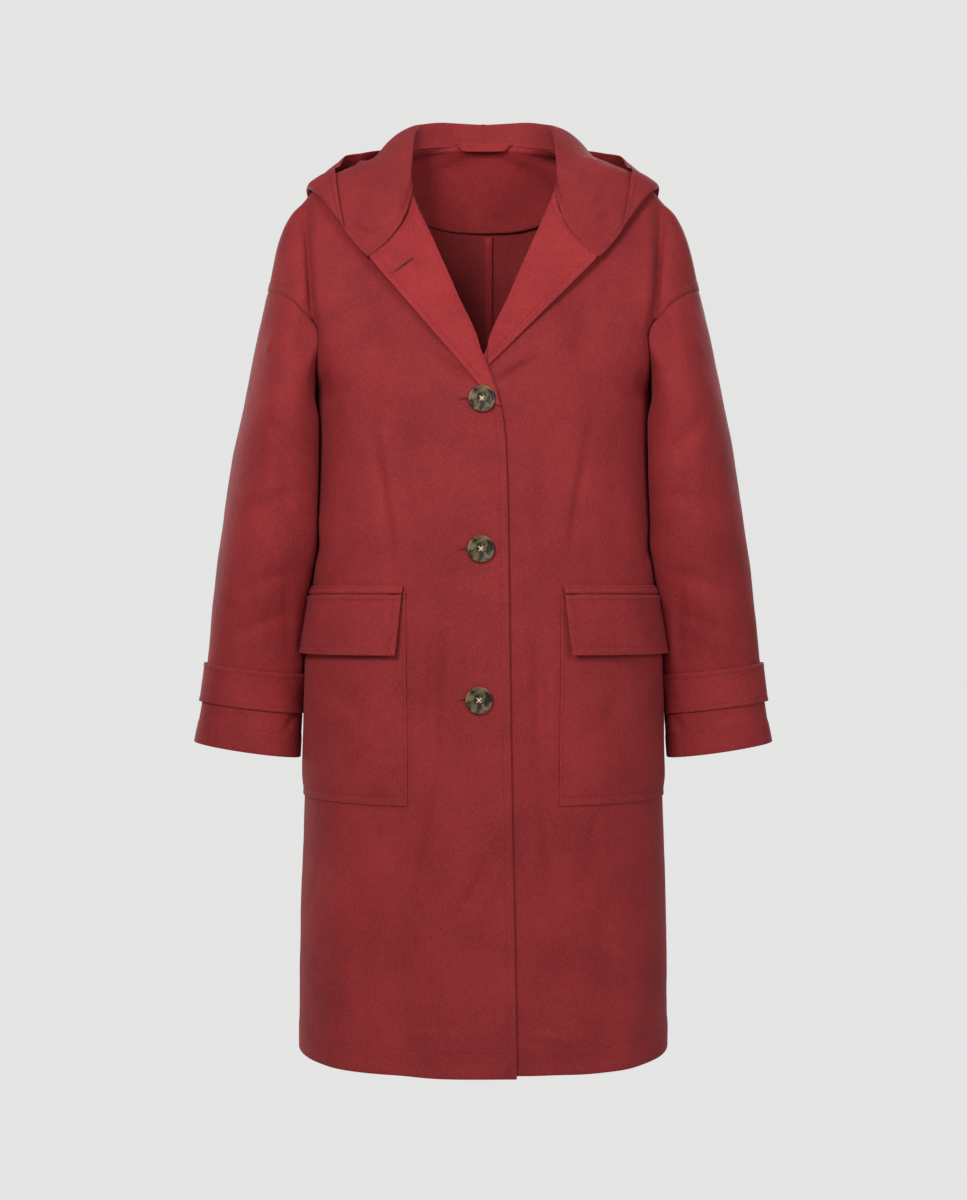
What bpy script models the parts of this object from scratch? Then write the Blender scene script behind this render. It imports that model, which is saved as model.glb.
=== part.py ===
"""Hooded cotton coat, hollow and filled out as worn. Metres, Z up, the front faces -Y.

The origin is midway between the two points where a shoulder seam meets the neck.
Every table is in millimetres, for the half where x is positive, and the other half is its mirror.
"""

import math

import bmesh
import bpy
import numpy as np

MM = 0.001
WALL = 1.5 * MM  # fronts, backs, sleeves and hood
TRIM = 1.2 * MM  # lapels, pockets, flaps, straps and the facing
SEAM = 0.3 * MM  # gap between two pieces that are sewn together
SEAM_INSET = {"left": SEAM / 2, "right": SEAM / 2, "low": SEAM / 2, "top": 0.6 * MM}  # each edge's share, more where it bends
LAP = 3.8 * MM  # the right front stands this far in front of the left one
HALF_PI = math.pi / 2

# Sections below the armpit: height, half width, front depth, back depth, squareness, rise at the side
SKIRT = (
    (-980, 200.5, 151, 152, 2.35, 6),
    (-880, 199.5, 150, 151, 2.3, 5),
    (-776, 197.5, 149, 149, 2.2, 4),
    (-700, 195.5, 147.5, 146, 2.1, 2),
    (-622, 192.5, 146, 143, 2.1, 1),
    (-535, 187.5, 143, 139, 2.1, 0),
    (-446, 182.5, 139, 134, 2.1, 0),
    (-380, 179.7, 135.5, 130, 2.1, 0),
    (-325, 179.0, 131, 127, 2.1, 0),
)
# Rows of the front above that: angle on the armhole, inner edge xyz, direction across xyz, squareness
FRONT_YOKE = (
    (180, (0, -127.0, -281), (180.5, 0, 0), 2.1),
    (140, (3.7, -116.5, -229), (174, 3, -10), 2.1),
    (105, (28, -97, -168), (149, 3.5, -21), 2.35),
    (75, (53, -67, -107), (138, -9, -21.5), 2.3),
    (45, (75, -32, -53), (124, -21, -21), 2.5),
    (20, (83.5, -8, -19), (130, -17, -18), 3.1),
    (0, (85, 10, 0), (129, -12, -38), 4.0),
)
# Rows of the back, whose inner edge runs up the centre seam and then round the neck
BACK_YOKE = (
    (180, (0, 124, -281), (180.5, 0, 0), 2.1),
    (150, (0, 121, -205), (170, 2, -8), 2.2),
    (120, (0, 113, -125), (160, 4, -18), 2.3),
    (96, (0, 96, -45), (158, 2, -30), 2.4),
    (72, (0, 70, 23), (150, 10, -50), 2.5),
    (44, (46, 59, 19), (134, 8, -40), 2.5),
    (20, (73, 36, 12), (132, 3, -36), 3.1),
    (0, (85, 10, 0), (129, -12, -38), 4.0),
)
ARMHOLE = {"centre": (209.5, 0, -212.5), "up": (27.5, 0, 60.5), "deep": (0, -75, 0), "shift": (-26, 0, 15)}
# Front edge of each front beyond the middle: height, right front, left front
FRONT_EDGE = (
    (-980, -33.3, -31),
    (-850, -31.3, -30),
    (-695, -28.3, -29),
    (-540, -26.2, -28),
    (-386, -24.3, -28),
    (-325, -22.2, -26),
    (-281, -16.0, -20),
    (-252, -8.0, -10),
    (-229, 0, 0),
)
# Sleeve sections: overarm xyz, underarm xyz, half depth, pull of front and back towards the body
SLEEVE = (
    ((237, 0, -152), (182, 0, -273), 75, (-26, 15)),
    ((248.5, 0, -205), (182.5, -18, -300), 80, (-15, 8)),
    ((261, 0, -270), (181.5, -29, -338), 82, (-6, 3)),
    ((274, -2, -336), (181.5, -34, -382), 80.5, (-2, 0)),
    ((284, -4, -402), (183.5, -33, -432), 77, (0, 0)),
    ((292.5, -6, -460), (190.0, -18, -482), 71, (0, 0)),
    ((298.5, -8, -520), (195.5, -4, -535), 62, (0, 0)),
    ((302.5, -9, -566), (197.5, -5, -579), 54, (0, 0)),
    ((308, -10, -606), (198.5, -9, -620), 49, (0, 0)),
    ((315, -10, -644), (200.8, -12, -661), 46, (0, 0)),
)
# Hood sections from the lapel's corner round to the centre seam: neck seam, ridge, under layer, outer fold,
# upper layer and opening edge
HOOD = (
    ((120.0, -85, -125.2), (120.9, -85, -125.2), (121.7, -85, -125.2), (122.6, -84.5, -125.2),
     (123.4, -84.5, -125.1), (124.1, -84, -125.1)),
    ((104.4, -78, -110.5), (111, -78, -109.5), (118, -77, -109.5), (124, -76, -110.5),
     (130, -75, -111.5), (135.5, -74, -112)),
    ((88.2, -64, -87), (99, -66, -84), (122, -64, -84), (148, -56, -90), (150, -60, -90.5), (148.5, -64, -92)),
    ((81.3, -48, -64.4), (92, -50, -58), (120, -46, -56), (168, -20, -66), (161, -32, -65), (153.7, -40, -69)),
    ((78.7, -32, -42), (85, -31, -32), (123, -20, -30), (183, 6, -48), (171, -8, -40), (158, -14, -40)),
    ((83.5, -11, -19), (82.2, -9, -8), (128, 6, -12), (194, 25, -34), (178, 14, -22), (158.6, 8, -17.5)),
    ((85, 9, 2.5), (80.5, 18, 22), (126, 34, 0), (191, 66, -56), (181, 44, -18), (154, 31, 4)),
    ((74, 36, 14.5), (77, 47, 43), (121, 68, 10), (168, 118, -130), (164, 94, -48), (136, 47, 11.5)),
    ((46, 59, 21.5), (52, 64, 46.5), (82, 100, -50), (106, 152, -212), (114, 156, -106), (96, 94, 24)),
    ((0.3, 70, 25.5), (0.3, 76, 48), (0.3, 116, -80), (0.3, 158, -262), (0.3, 178, -138), (0.3, 126, 10)),
)
# Lapel outline seen from the front, x and z: from the crossing up the roll line, and round by the corner
LAPEL_LOW = {-1: (-5.0, -244.0), 1: (-1.0, -252.5)}
LAPEL_CORNER = (122.1, -128.4)
LAPEL_GORGE = ((104.0, -111.6), (87.4, -88.6), (80.4, -66.0), (82.0, -47.0))
LAPEL_ROLL = (1.03, 4.05)  # rows of FRONT_YOKE where its roll line starts and ends
LAPEL_STAND = 6.0  # how far its outer edge stands off the front

POCKET = {"inner": 77.0, "outer_angle": 87, "top": -484, "bottom": -702.6}
FLAP = {"inner_top": 79.0, "inner_low": 85.0, "top": -477, "strip": 10, "low": -547}
FLAP_ANGLE = (79, 77)  # where its far edge lies, at the top and at the bottom
FLAP_STAND = (6.0, 11.5)  # how far its lower edge stands off, at the inner and the outer corner

STRAP = {"from": 6.83, "to": 7.83, "thick": 1.2, "overlap": 14}
# Lower edge of the facing: share of the way from the middle to the shoulder, angle round the body, row of BACK_YOKE
FACING = ((0, 0, 2.70), (0.25, 11, 2.74), (0.45, 20, 2.84), (0.6, 27, 3.0), (0.75, 32, 3.7), (0.88, 30, 5.3), (1, 25, 7))
LOOP = {"half_top": 31.3, "half_low": 23.6, "top": 25.0, "low": 16.5}
BUTTONS = ((1.6, -282.0), (2.6, -437.5), (4.6, -593.0))  # x and z of each, on the picture's left of the middle
BUTTON = {"diameter": 28.0, "thick": 4.0, "hole": 2.4, "spacing": 5.0, "clear": 0.5}

# Largest folds of the body: half it lies on, x, from z, to z, half width, depth. A negative depth is a ridge.
TROUGH = {"top": (195, -48), "low": (183, -200), "width": 9.0, "depth": 8.0}
DRAPES = (
    ("front", -1, 84, -1000, -640, 24, 3.5),
    ("front", 1, 80, -1000, -660, 24, 4.0),
    ("front", -1, 118, -330, -150, 16, 3.5),
    ("front", 1, 116, -330, -150, 17, 3.5),
    ("front", -1, 150, -1000, -720, 20, -3.0),
    ("front", 1, 146, -1000, -735, 20, -3.0),
    ("back", -1, 75, -1000, -500, 26, 5.0),
    ("back", 1, 70, -1000, -560, 26, 5.0),
    ("back", -1, 140, -1000, -450, 24, 4.5),
    ("back", 1, 145, -1000, -420, 24, 4.5),
)

COLOURS = {
    "cotton": ((0.27, 0.035, 0.042, 1), 0.85),
    "facing": ((0.24, 0.03, 0.038, 1), 0.85),
    "horn": ((0.16, 0.12, 0.06, 1), 0.35),
}


def spline(knots, values, at):
    """A curve through a table's rows that never overshoots a row, at every place in at."""
    knots = np.asarray(knots, float)
    values = np.asarray(values, float).reshape(len(knots), -1)
    step = np.diff(knots)[:, None]
    slope = np.diff(values, axis=0) / step
    tangent = np.zeros_like(values)
    before, after = slope[:-1], slope[1:]
    same = before * after > 0
    weight_a = 2 * step[1:] + step[:-1]
    weight_b = step[1:] + 2 * step[:-1]
    safe_a = np.where(same, before, 1)
    safe_b = np.where(same, after, 1)
    mean = (weight_a + weight_b) / (weight_a / safe_a + weight_b / safe_b)
    tangent[1:-1] = np.where(same, mean, 0)
    tangent[0] = slope[0]
    tangent[-1] = slope[-1]
    at = np.clip(np.asarray(at, float), knots[0], knots[-1])
    row = np.clip(np.searchsorted(knots, at, side="right") - 1, 0, len(knots) - 2)
    width = np.diff(knots)[row]
    t = ((at - knots[row]) / width)[:, None]
    h = width[:, None]
    return (
        (1 + 2 * t) * (1 - t) ** 2 * values[row]
        + t * (1 - t) ** 2 * h * tangent[row]
        + t * t * (3 - 2 * t) * values[row + 1]
        + t * t * (t - 1) * h * tangent[row + 1]
    )


def through(points, at):
    """A rounded curve through a few points. points is (count, many, 3) and at runs from 0 to 1."""
    points = np.asarray(points, float)
    count = len(points)
    before = np.concatenate([2 * points[:1] - points[1:2], points])
    after = np.concatenate([points, 2 * points[-1:] - points[-2:-1]])
    tangent = (after[1:] - before[:-1]) / 2
    place = np.clip(np.asarray(at, float) * (count - 1), 0, count - 1 - 1e-9)
    row = place.astype(int)
    t = (place - row)[:, None]
    many = np.arange(points.shape[1])
    return (
        (1 + 2 * t) * (1 - t) ** 2 * points[row, many]
        + t * (1 - t) ** 2 * tangent[row, many]
        + t * t * (3 - 2 * t) * points[row + 1, many]
        + t * t * (t - 1) * tangent[row + 1, many]
    )


def ease(low, high, x):
    """0 below low and 1 above high, with a soft step between."""
    t = np.clip((np.asarray(x, float) - low) / (high - low), 0, 1)
    return t * t * (3 - 2 * t)


def armhole(degrees):
    """Points of the armhole, from its top at 0 over the front at 90 to the armpit at 180."""
    turn = np.radians(np.asarray(degrees, float))[:, None]
    part = {name: np.array(value, float)[None, :] * MM for name, value in ARMHOLE.items()}
    loop = part["centre"] + np.cos(turn) * part["up"] + np.sin(turn) * part["deep"]
    return loop + np.sin(turn) ** 2 * part["shift"]


def rows_of(which):
    """Inner edge, outer edge, direction across and squareness of every row of a front or a back."""
    column = 2 if which == "front" else 3
    sign = -1 if which == "front" else 1
    rows = []
    for section in SKIRT:
        height, half = section[0] * MM, section[1] * MM
        depth = sign * section[column] * MM
        rows.append([0, depth, height, half, 0, height + section[5] * MM, half, 0, 0, section[4]])
    for angle, inner, across, square in FRONT_YOKE if which == "front" else BACK_YOKE:
        outer = armhole([-sign * angle])[0]
        across = np.array(across, float) * MM
        rows.append([*(np.array(inner, float) * MM), *outer, *across, square])
    return np.array(rows)


ROWS = {"front": rows_of("front"), "back": rows_of("back")}
YOKE = len(SKIRT)  # row where the armpit lies
TOP = {which: len(rows) - 1 for which, rows in ROWS.items()}


def plain(which, turn, row):
    """A front or back without folds. turn is the angle round the body: 0 at the inner edge, half pi at the side."""
    turn = np.asarray(turn, float)
    table = spline(np.arange(len(ROWS[which])), ROWS[which], row)
    inner, outer, across, square = table[:, :3], table[:, 3:6], table[:, 6:9], table[:, 9]
    sine, cosine = np.sin(turn), np.cos(turn)
    size = (np.abs(sine) ** square + np.abs(cosine) ** square) ** (-1 / square)
    rest = outer - inner - across
    return inner + across * (size * sine)[:, None] + rest * (1 - size * cosine)[:, None]


def normals(shape, turn, row):
    """Outward normals of a surface given as a function of turn and row."""
    d = 1e-4
    along = shape(turn + d, row) - shape(turn - d, row)
    inside = np.clip(row, d, None)
    up = shape(turn, inside + d) - shape(turn, inside - d)
    normal = np.cross(along, up)
    length = np.linalg.norm(normal, axis=1, keepdims=True)
    return normal / np.maximum(length, 1e-12)


def outward(which, turn, row):
    top = TOP[which] - 2e-4
    normal = normals(lambda a, b: plain(which, a, np.minimum(b, TOP[which])), turn, np.minimum(row, top))
    return normal if which == "front" else -normal


def fold_depth(which, side, points):
    """How far the folds push a surface in, at points of its plain form."""
    x, z = points[:, 0] / MM, points[:, 2] / MM
    depth = np.zeros(len(points))
    top, low = TROUGH["top"], TROUGH["low"]
    part = np.clip((z - low[1]) / (top[1] - low[1]), -0.5, 1.5)
    line = low[0] + (top[0] - low[0]) * part
    fade = ease(low[1] - 45, low[1] + 5, z) * (1 - ease(top[1] - 25, top[1] + 8, z))
    depth += TROUGH["depth"] * fade * np.exp(-(((x - line) / TROUGH["width"]) ** 2))
    for cloth, half, where, start, end, width, deep in DRAPES:
        if cloth != which or half != side:
            continue
        run = (z - start) / (end - start)
        fade = ease(0, 0.12, run) * (1 - ease(0.45, 1, run)) if start > -1000 else 1 - ease(0.1, 1, run)
        depth += deep * fade * np.exp(-(((x - where) / width) ** 2))
    return depth * MM


def body(which, side, turn, row, out=0.0):
    """A front or back with its folds, moved out by out metres. side is 1 on the wearer's left."""
    base = plain(which, turn, row)
    normal = outward(which, turn, row)
    move = out - fold_depth(which, side, base)
    if which == "front" and side < 0:
        lap = 1 - ease(42 * MM, 95 * MM, base[:, 0])
        move = move + LAP * lap * (1 - ease(YOKE + 0.9, YOKE + 1.8, row))
    points = base + normal * np.reshape(move, (-1, 1))
    if which == "front" and side > 0:
        points[:, 2] += 3 * MM * (1 - ease(-0.98, -0.8, base[:, 2])) * (1 - ease(0, 0.12, base[:, 0]))
    return points


def edge_turn(side, row):
    """The angle round the body at which a front ends, past the middle."""
    base = plain("front", np.zeros_like(row), row)
    table = np.array(FRONT_EDGE)
    reach = spline(table[:, 0], table[:, 1:], base[:, 2] / MM)[:, 0 if side < 0 else 1] * MM
    across = spline(np.arange(len(ROWS["front"])), ROWS["front"], row)[:, 6]
    return np.arcsin(np.clip(reach / across, -0.9, 0.9))


def at_front(side, x, z, out):
    """The point of a front that is seen at x and z from the front, moved out."""
    x, z = np.asarray(x, float), np.asarray(z, float)
    turns, rows = np.meshgrid(np.linspace(-0.2, HALF_PI, 40), np.linspace(0, TOP["front"], 90))
    turns, rows = turns.ravel(), rows.ravel()
    seen = body("front", side, turns, rows)
    near = [np.argmin((seen[:, 0] - a) ** 2 + (seen[:, 2] - b) ** 2) for a, b in zip(x, z)]
    turn, row = turns[near], rows[near]
    d = 1e-4
    for _ in range(12):
        here = body("front", side, turn, row)
        by_turn = (body("front", side, turn + d, row) - here) / d
        by_row = (body("front", side, turn, np.minimum(row, TOP["front"] - d) + d) - here) / d
        miss_x, miss_z = x - here[:, 0], z - here[:, 2]
        scale = by_turn[:, 0] * by_row[:, 2] - by_turn[:, 2] * by_row[:, 0]
        scale = np.where(np.abs(scale) < 1e-7, 1e-7, scale)
        turn = turn + np.clip((miss_x * by_row[:, 2] - miss_z * by_row[:, 0]) / scale, -0.15, 0.15)
        row = row + np.clip((miss_z * by_turn[:, 0] - miss_x * by_turn[:, 2]) / scale, -0.5, 0.5)
        row = np.clip(row, 0, TOP["front"] - 2 * d)
        turn = np.clip(turn, -0.35, HALF_PI)
    return body("front", side, turn, row) + outward("front", turn, row) * np.reshape(out, (-1, 1))


def clear_of(points, surface, faces_out, least):
    """Moves points away from a surface until they stand at least this far off it, softly."""
    gap = points[:, None, :] - surface[None, :, :]
    near = np.argmin((gap**2).sum(axis=2), axis=1)
    normal = faces_out[near]
    off = ((points - surface[near]) * normal).sum(axis=1)
    soft = 0.8 * MM
    push = soft * np.logaddexp(0, (least - off) / soft)
    far = ease(0.0, 0.045, off)
    return points + normal * (push * (1 - far))[:, None]


def cloud(which, side, turn_from=0.0):
    """Many points of a front or back, with their outward normals."""
    turns, rows = np.meshgrid(np.linspace(turn_from, HALF_PI, 56), np.linspace(0, TOP[which], 110))
    turns, rows = turns.ravel(), rows.ravel()
    return body(which, side, turns, rows), outward(which, turns, rows)


def panel_edge(side, degrees):
    """The edge of the front and the back round the armhole, with their folds."""
    degrees = np.asarray(degrees, float)
    edge = np.zeros((len(degrees), 3))
    for which, here in (("front", degrees >= 0), ("back", degrees < 0)):
        rows = yoke_row(which, np.abs(degrees[here]))
        if here.any():
            edge[here] = body(which, side, np.full(len(rows), HALF_PI), rows)
    return edge


def sleeve(side, degrees, station, out=0.0):
    """The sleeve, from its overarm at 0 over the front at 90 to the underarm at 180."""
    turn = np.radians(np.asarray(degrees, float))
    table = []
    for over, under, deep, pull in SLEEVE:
        over, under = np.array(over, float), np.array(under, float)
        table.append([*((over + under) / 2), *((over - under) / 2), deep, *pull])
    at = spline(np.arange(len(table)), np.array(table) * MM, station)
    cosine, sine = np.cos(turn)[:, None], np.sin(turn)[:, None]
    points = at[:, :3] + cosine * at[:, 3:6]
    points[:, 1] -= sine[:, 0] * at[:, 6]
    points[:, 0] += sine[:, 0] ** 2 * at[:, 7]
    points[:, 2] += sine[:, 0] ** 2 * at[:, 8]
    start = 1 - ease(0, 1.2, station)
    points += (panel_edge(side, degrees) - armhole(degrees)) * start[:, None]
    points[:, 0] += 3.0 * MM * start * ((1 - cosine[:, 0]) / 2) ** 2
    if np.any(out):
        across = np.stack([cosine[:, 0] / np.maximum(at[:, 3], 0.02), -sine[:, 0] / at[:, 6]], axis=1)
        across /= np.linalg.norm(across, axis=1, keepdims=True)
        points[:, 0] += across[:, 0] * out
        points[:, 1] += across[:, 1] * out
    return points


def mirrored(points, side):
    points = np.array(points, float)
    points[:, 0] *= side
    return points


def material(name):
    found = bpy.data.materials.get(name)
    if found:
        return found
    colour, rough = COLOURS[name]
    made = bpy.data.materials.new(name)
    made.use_nodes = True
    shader = made.node_tree.nodes["Principled BSDF"]
    shader.inputs["Base Color"].default_value = colour
    shader.inputs["Roughness"].default_value = rough
    made.diffuse_color = colour
    return made


def add(name, mesh, slot):
    obj = bpy.data.objects.new(name, mesh)
    obj.data.materials.append(material(slot))
    coat.objects.link(obj)
    return obj


def sheet(name, shape, across, along, thick, slot, sewn="", ring=False):
    """A cloth wall. shape gives points from two arrays that run from 0 to 1, and sewn names the edges held back."""
    bm = bmesh.new()
    bmesh.ops.create_grid(bm, x_segments=across, y_segments=along, size=1)
    flat = np.array([vert.co[:2] for vert in bm.verts]) / 2 + 0.5
    column = np.rint(flat[:, 0] * across).astype(int)
    line = np.rint(flat[:, 1] * along).astype(int)
    points = shape(column / across, line / along)
    grid = np.zeros((along + 1, across + 1, 3))
    grid[line, column] = points
    for edge in sewn.split():
        ahead = {
            "left": (grid[:, 0], grid[:, 1]),
            "right": (grid[:, -1], grid[:, -2]),
            "low": (grid[0], grid[1]),
            "top": (grid[-1], grid[-2]),
        }[edge]
        way = ahead[1] - ahead[0]
        length = np.linalg.norm(way, axis=1, keepdims=True)
        ahead[0][:] = ahead[0] + way / np.maximum(length, 1e-9) * SEAM_INSET[edge]
    for vert, i, j in zip(bm.verts, column, line):
        vert.co = grid[j, i]
    if ring:
        bmesh.ops.remove_doubles(bm, verts=bm.verts, dist=2e-5)
    for face in bm.faces:
        face.smooth = True
    mesh = bpy.data.meshes.new(name)
    bm.to_mesh(mesh)
    bm.free()
    obj = add(name, mesh, slot)
    wall = obj.modifiers.new("wall", "SOLIDIFY")
    wall.thickness = thick
    wall.offset = 0
    return obj


def yoke_row(which, degrees):
    """The row of a front or back whose outer edge lies at this angle on the armhole."""
    yoke = FRONT_YOKE if which == "front" else BACK_YOKE
    angles = [row[0] for row in yoke]
    return YOKE + np.interp(-np.asarray(degrees, float), -np.array(angles, float), np.arange(len(yoke)))


ACROSS = 14  # columns of faces on each front and back
LOW_LINES, YOKE_LINES = 17, 10  # rows of faces below and above the armpit, the same on fronts, backs and sleeves


def level(which, t):
    """The row at t from 0 at the hem to 1 at the shoulder, so that neighbours share their points."""
    line = np.asarray(t, float) * (LOW_LINES + YOKE_LINES)
    low = np.clip(line / LOW_LINES, 0, 1)
    height = [section[0] for section in SKIRT] + [FRONT_YOKE[0][1][2]]
    below = np.interp(height[0] + (height[-1] - height[0]) * low, height, np.arange(YOKE + 1))
    above = yoke_row(which, 180 - 180 * np.clip((line - LOW_LINES) / YOKE_LINES, 0, 1))
    return np.where(line <= LOW_LINES, below, above)


def make_front(side):
    def shape(s, t):
        row = level("front", t)
        start = edge_turn(side, row)
        return mirrored(body("front", side, start + (HALF_PI - start) * s, row), side)

    return sheet("front_" + SIDE[side], shape, ACROSS, LOW_LINES + YOKE_LINES, WALL, "cotton", "right top")


def make_back(side):
    def shape(s, t):
        return mirrored(body("back", side, HALF_PI * s, level("back", t)), side)

    return sheet("back_" + SIDE[side], shape, ACROSS, LOW_LINES + YOKE_LINES, WALL, "cotton", "left right top")


def make_sleeve(side, part):
    low, high = (0, 180) if part == "front" else (-180, 0)

    def shape(s, t):
        points = sleeve(side, low + (high - low) * s, (1 - t) * (len(SLEEVE) - 1))
        return mirrored(points, side)

    name = "sleeve_" + part + "_" + SIDE[side]
    return sheet(name, shape, YOKE_LINES, 17, WALL, "cotton", "left right top")


def lapel_outline(side, s):
    """x and z of the roll line and of the outer edge, at places from the crossing to the top."""
    row = YOKE + LAPEL_ROLL[0] + (LAPEL_ROLL[1] - LAPEL_ROLL[0]) * s
    roll = plain("front", np.zeros_like(s), row)[:, [0, 2]]
    corner = 0.62
    low, tip = np.array(LAPEL_LOW[side]) * MM, np.array(LAPEL_CORNER) * MM
    lower = low + (tip - low) * np.clip(s / corner, 0, 1)[:, None]
    gorge = np.array([LAPEL_CORNER, *LAPEL_GORGE]) * MM
    upper = spline(np.arange(len(gorge)), gorge, np.clip((s - corner) / (1 - corner), 0, 1) * (len(gorge) - 1))
    return roll, np.where((s < corner)[:, None], lower, upper)


def make_lapel(side):
    def shape(s, t):
        start = 0.0 if side < 0 else 0.03
        s_up = start + (1 - start) * t
        roll, outer = lapel_outline(side, s_up)
        seen = roll + (outer - roll) * s[:, None]
        wide = np.linalg.norm(outer - roll, axis=1) / (70 * MM)
        stand = LAPEL_STAND * MM * ease(0.1, 1, s) * np.clip(wide, 0, 1) * ease(0.05, 0.5, s_up)
        out = (WALL + TRIM) / 2 + 0.7 * MM + stand
        return mirrored(at_front(side, seen[:, 0], seen[:, 1], out), side)

    return sheet("lapel_" + SIDE[side], shape, 7, 16, TRIM, "facing")


HOOD_PLACES = (0, 0.1, 0.17, 0.23, 0.31, 0.4, 0.48, 0.54, 0.58, 0.62, 0.67, 0.74, 0.82, 0.91, 1)


def hood(side, s, t, out=0.0):
    """The hood half. s runs from the neck seam over the fold to the opening edge, t from the front to the back."""
    table = np.array(HOOD, float) * MM
    count = table.shape[1]
    place = np.asarray(t, float) * (len(HOOD) - 1)
    rails = np.stack([spline(np.arange(len(HOOD)), table[:, k], place) for k in range(count)])
    return through(rails, s)


def make_hood(side):
    front, front_out = cloud("front", side)
    back, back_out = cloud("back", side)
    under = np.concatenate([front, back])
    under_out = np.concatenate([front_out, back_out])

    def shape(s, t):
        place = np.interp(s, np.linspace(0, 1, len(HOOD_PLACES)), HOOD_PLACES)
        points = hood(side, place, t)
        doubled = ease(0.6, 0.72, place) * ease(0.02, 0.13, t)
        least = (3.9 + 2.4 * ease(0.1, 0.3, t) + 4.6 * doubled) * MM
        least = 2.2 * MM + (least - 2.2 * MM) * np.maximum(ease(0.05, 0.3, place), 1 - ease(0.2, 0.45, t))
        points = clear_of(points, under, under_out, least)
        return mirrored(points, side)

    return sheet("hood_" + SIDE[side], shape, len(HOOD_PLACES) - 1, 24, WALL, "cotton")


def make_pocket(side):
    pocket = {name: value * MM for name, value in POCKET.items() if name != "outer_angle"}
    far = math.radians(POCKET["outer_angle"])

    def shape(s, t):
        z = pocket["bottom"] + (pocket["top"] - pocket["bottom"]) * t
        row = np.interp(z / MM, [section[0] for section in SKIRT], np.arange(len(SKIRT)))
        across = spline(np.arange(len(ROWS["front"])), ROWS["front"], row)[:, 6]
        near = np.arcsin(pocket["inner"] / across)
        turn = near + (far - near) * s
        edge = np.minimum(np.minimum(s, 1 - s) * 4, np.minimum(t * 4, 1))
        out = (WALL + TRIM) / 2 + SEAM + (0.9 + 2.0 * ease(0, 1, edge)) * MM
        return mirrored(body("front", side, turn, row, out), side)

    return sheet("pocket_" + SIDE[side], shape, 9, 8, TRIM, "cotton")


def make_flap(side):
    def shape(s, t):
        down = 1 - t
        z = FLAP["top"] + (FLAP["low"] - FLAP["top"]) * down
        row = np.interp(z, [section[0] for section in SKIRT], np.arange(len(SKIRT)))
        across = spline(np.arange(len(ROWS["front"])), ROWS["front"], row)[:, 6]
        inner = (FLAP["inner_top"] + (FLAP["inner_low"] - FLAP["inner_top"]) * down) * MM
        near = np.arcsin(inner / across)
        far = np.radians(FLAP_ANGLE[0] + (FLAP_ANGLE[1] - FLAP_ANGLE[0]) * down)
        turn = near + (far - near) * s
        stand = FLAP_STAND[0] + (FLAP_STAND[1] - FLAP_STAND[0]) * s**2
        strip = FLAP["strip"] / (FLAP["top"] - FLAP["low"])
        lift = np.clip((down - strip) / (1 - strip), 0, 1) ** 1.2
        over_pocket = 2.9 * MM + TRIM + SEAM
        out = (WALL + TRIM) / 2 + 1.1 * MM + over_pocket + stand * lift * MM
        return mirrored(body("front", side, turn, row, out), side)

    return sheet("pocket_flap_" + SIDE[side], shape, 9, 6, TRIM, "cotton")


def make_strap(side):
    """One band round the cuff, whose free end lies over its start on the outer side."""

    def shape(s, t):
        degrees = -STRAP["overlap"] + (360 + STRAP["overlap"]) * s
        stretch = STRAP["from"] + (STRAP["to"] - STRAP["from"]) * (1 - t)
        over = 1 - ease(-10, 40, degrees)
        out = (WALL + TRIM) / 2 + 1.2 * MM + (TRIM + 1.1 * MM) * over
        return mirrored(sleeve(side, degrees, stretch, out), side)

    return sheet("cuff_strap_" + SIDE[side], shape, 34, 2, TRIM, "cotton")


def make_facing():
    corner, top = YOKE + 4, TOP["back"]
    lower = np.array(FACING, float)

    def shape(s, t):
        side = np.where(s < 0.5, -1, 1)
        c = np.abs(2 * s - 1)
        edge = spline(lower[:, 0], lower[:, 1:], c)
        turn = (1 - t) * np.radians(edge[:, 0])
        row = t * (corner + (top - corner) * c) + (1 - t) * (YOKE + edge[:, 1])
        row = np.minimum(row, top - 0.02)
        out = -((WALL + TRIM) / 2 + 2.8 * MM)
        right = body("back", -1, turn, row, out)
        left = body("back", 1, turn, row, out)
        points = np.where((side < 0)[:, None], right, left)
        points[:, 0] = np.maximum(points[:, 0], 0.2 * MM) * (c > 0) * side
        return points

    return sheet("back_neck_facing", shape, 18, 5, TRIM, "facing")


def make_loop():
    loop = {name: value * MM for name, value in LOOP.items()}

    def shape(s, t):
        half = loop["half_low"] + (loop["half_top"] - loop["half_low"]) * t
        x = (2 * s - 1) * half
        y = 0.070 - 6.5 * x * x - 9.0 * MM
        return np.stack([x, y, loop["low"] + (loop["top"] - loop["low"]) * t], axis=1)

    return sheet("hanger_loop", shape, 8, 1, TRIM, "facing")


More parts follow.
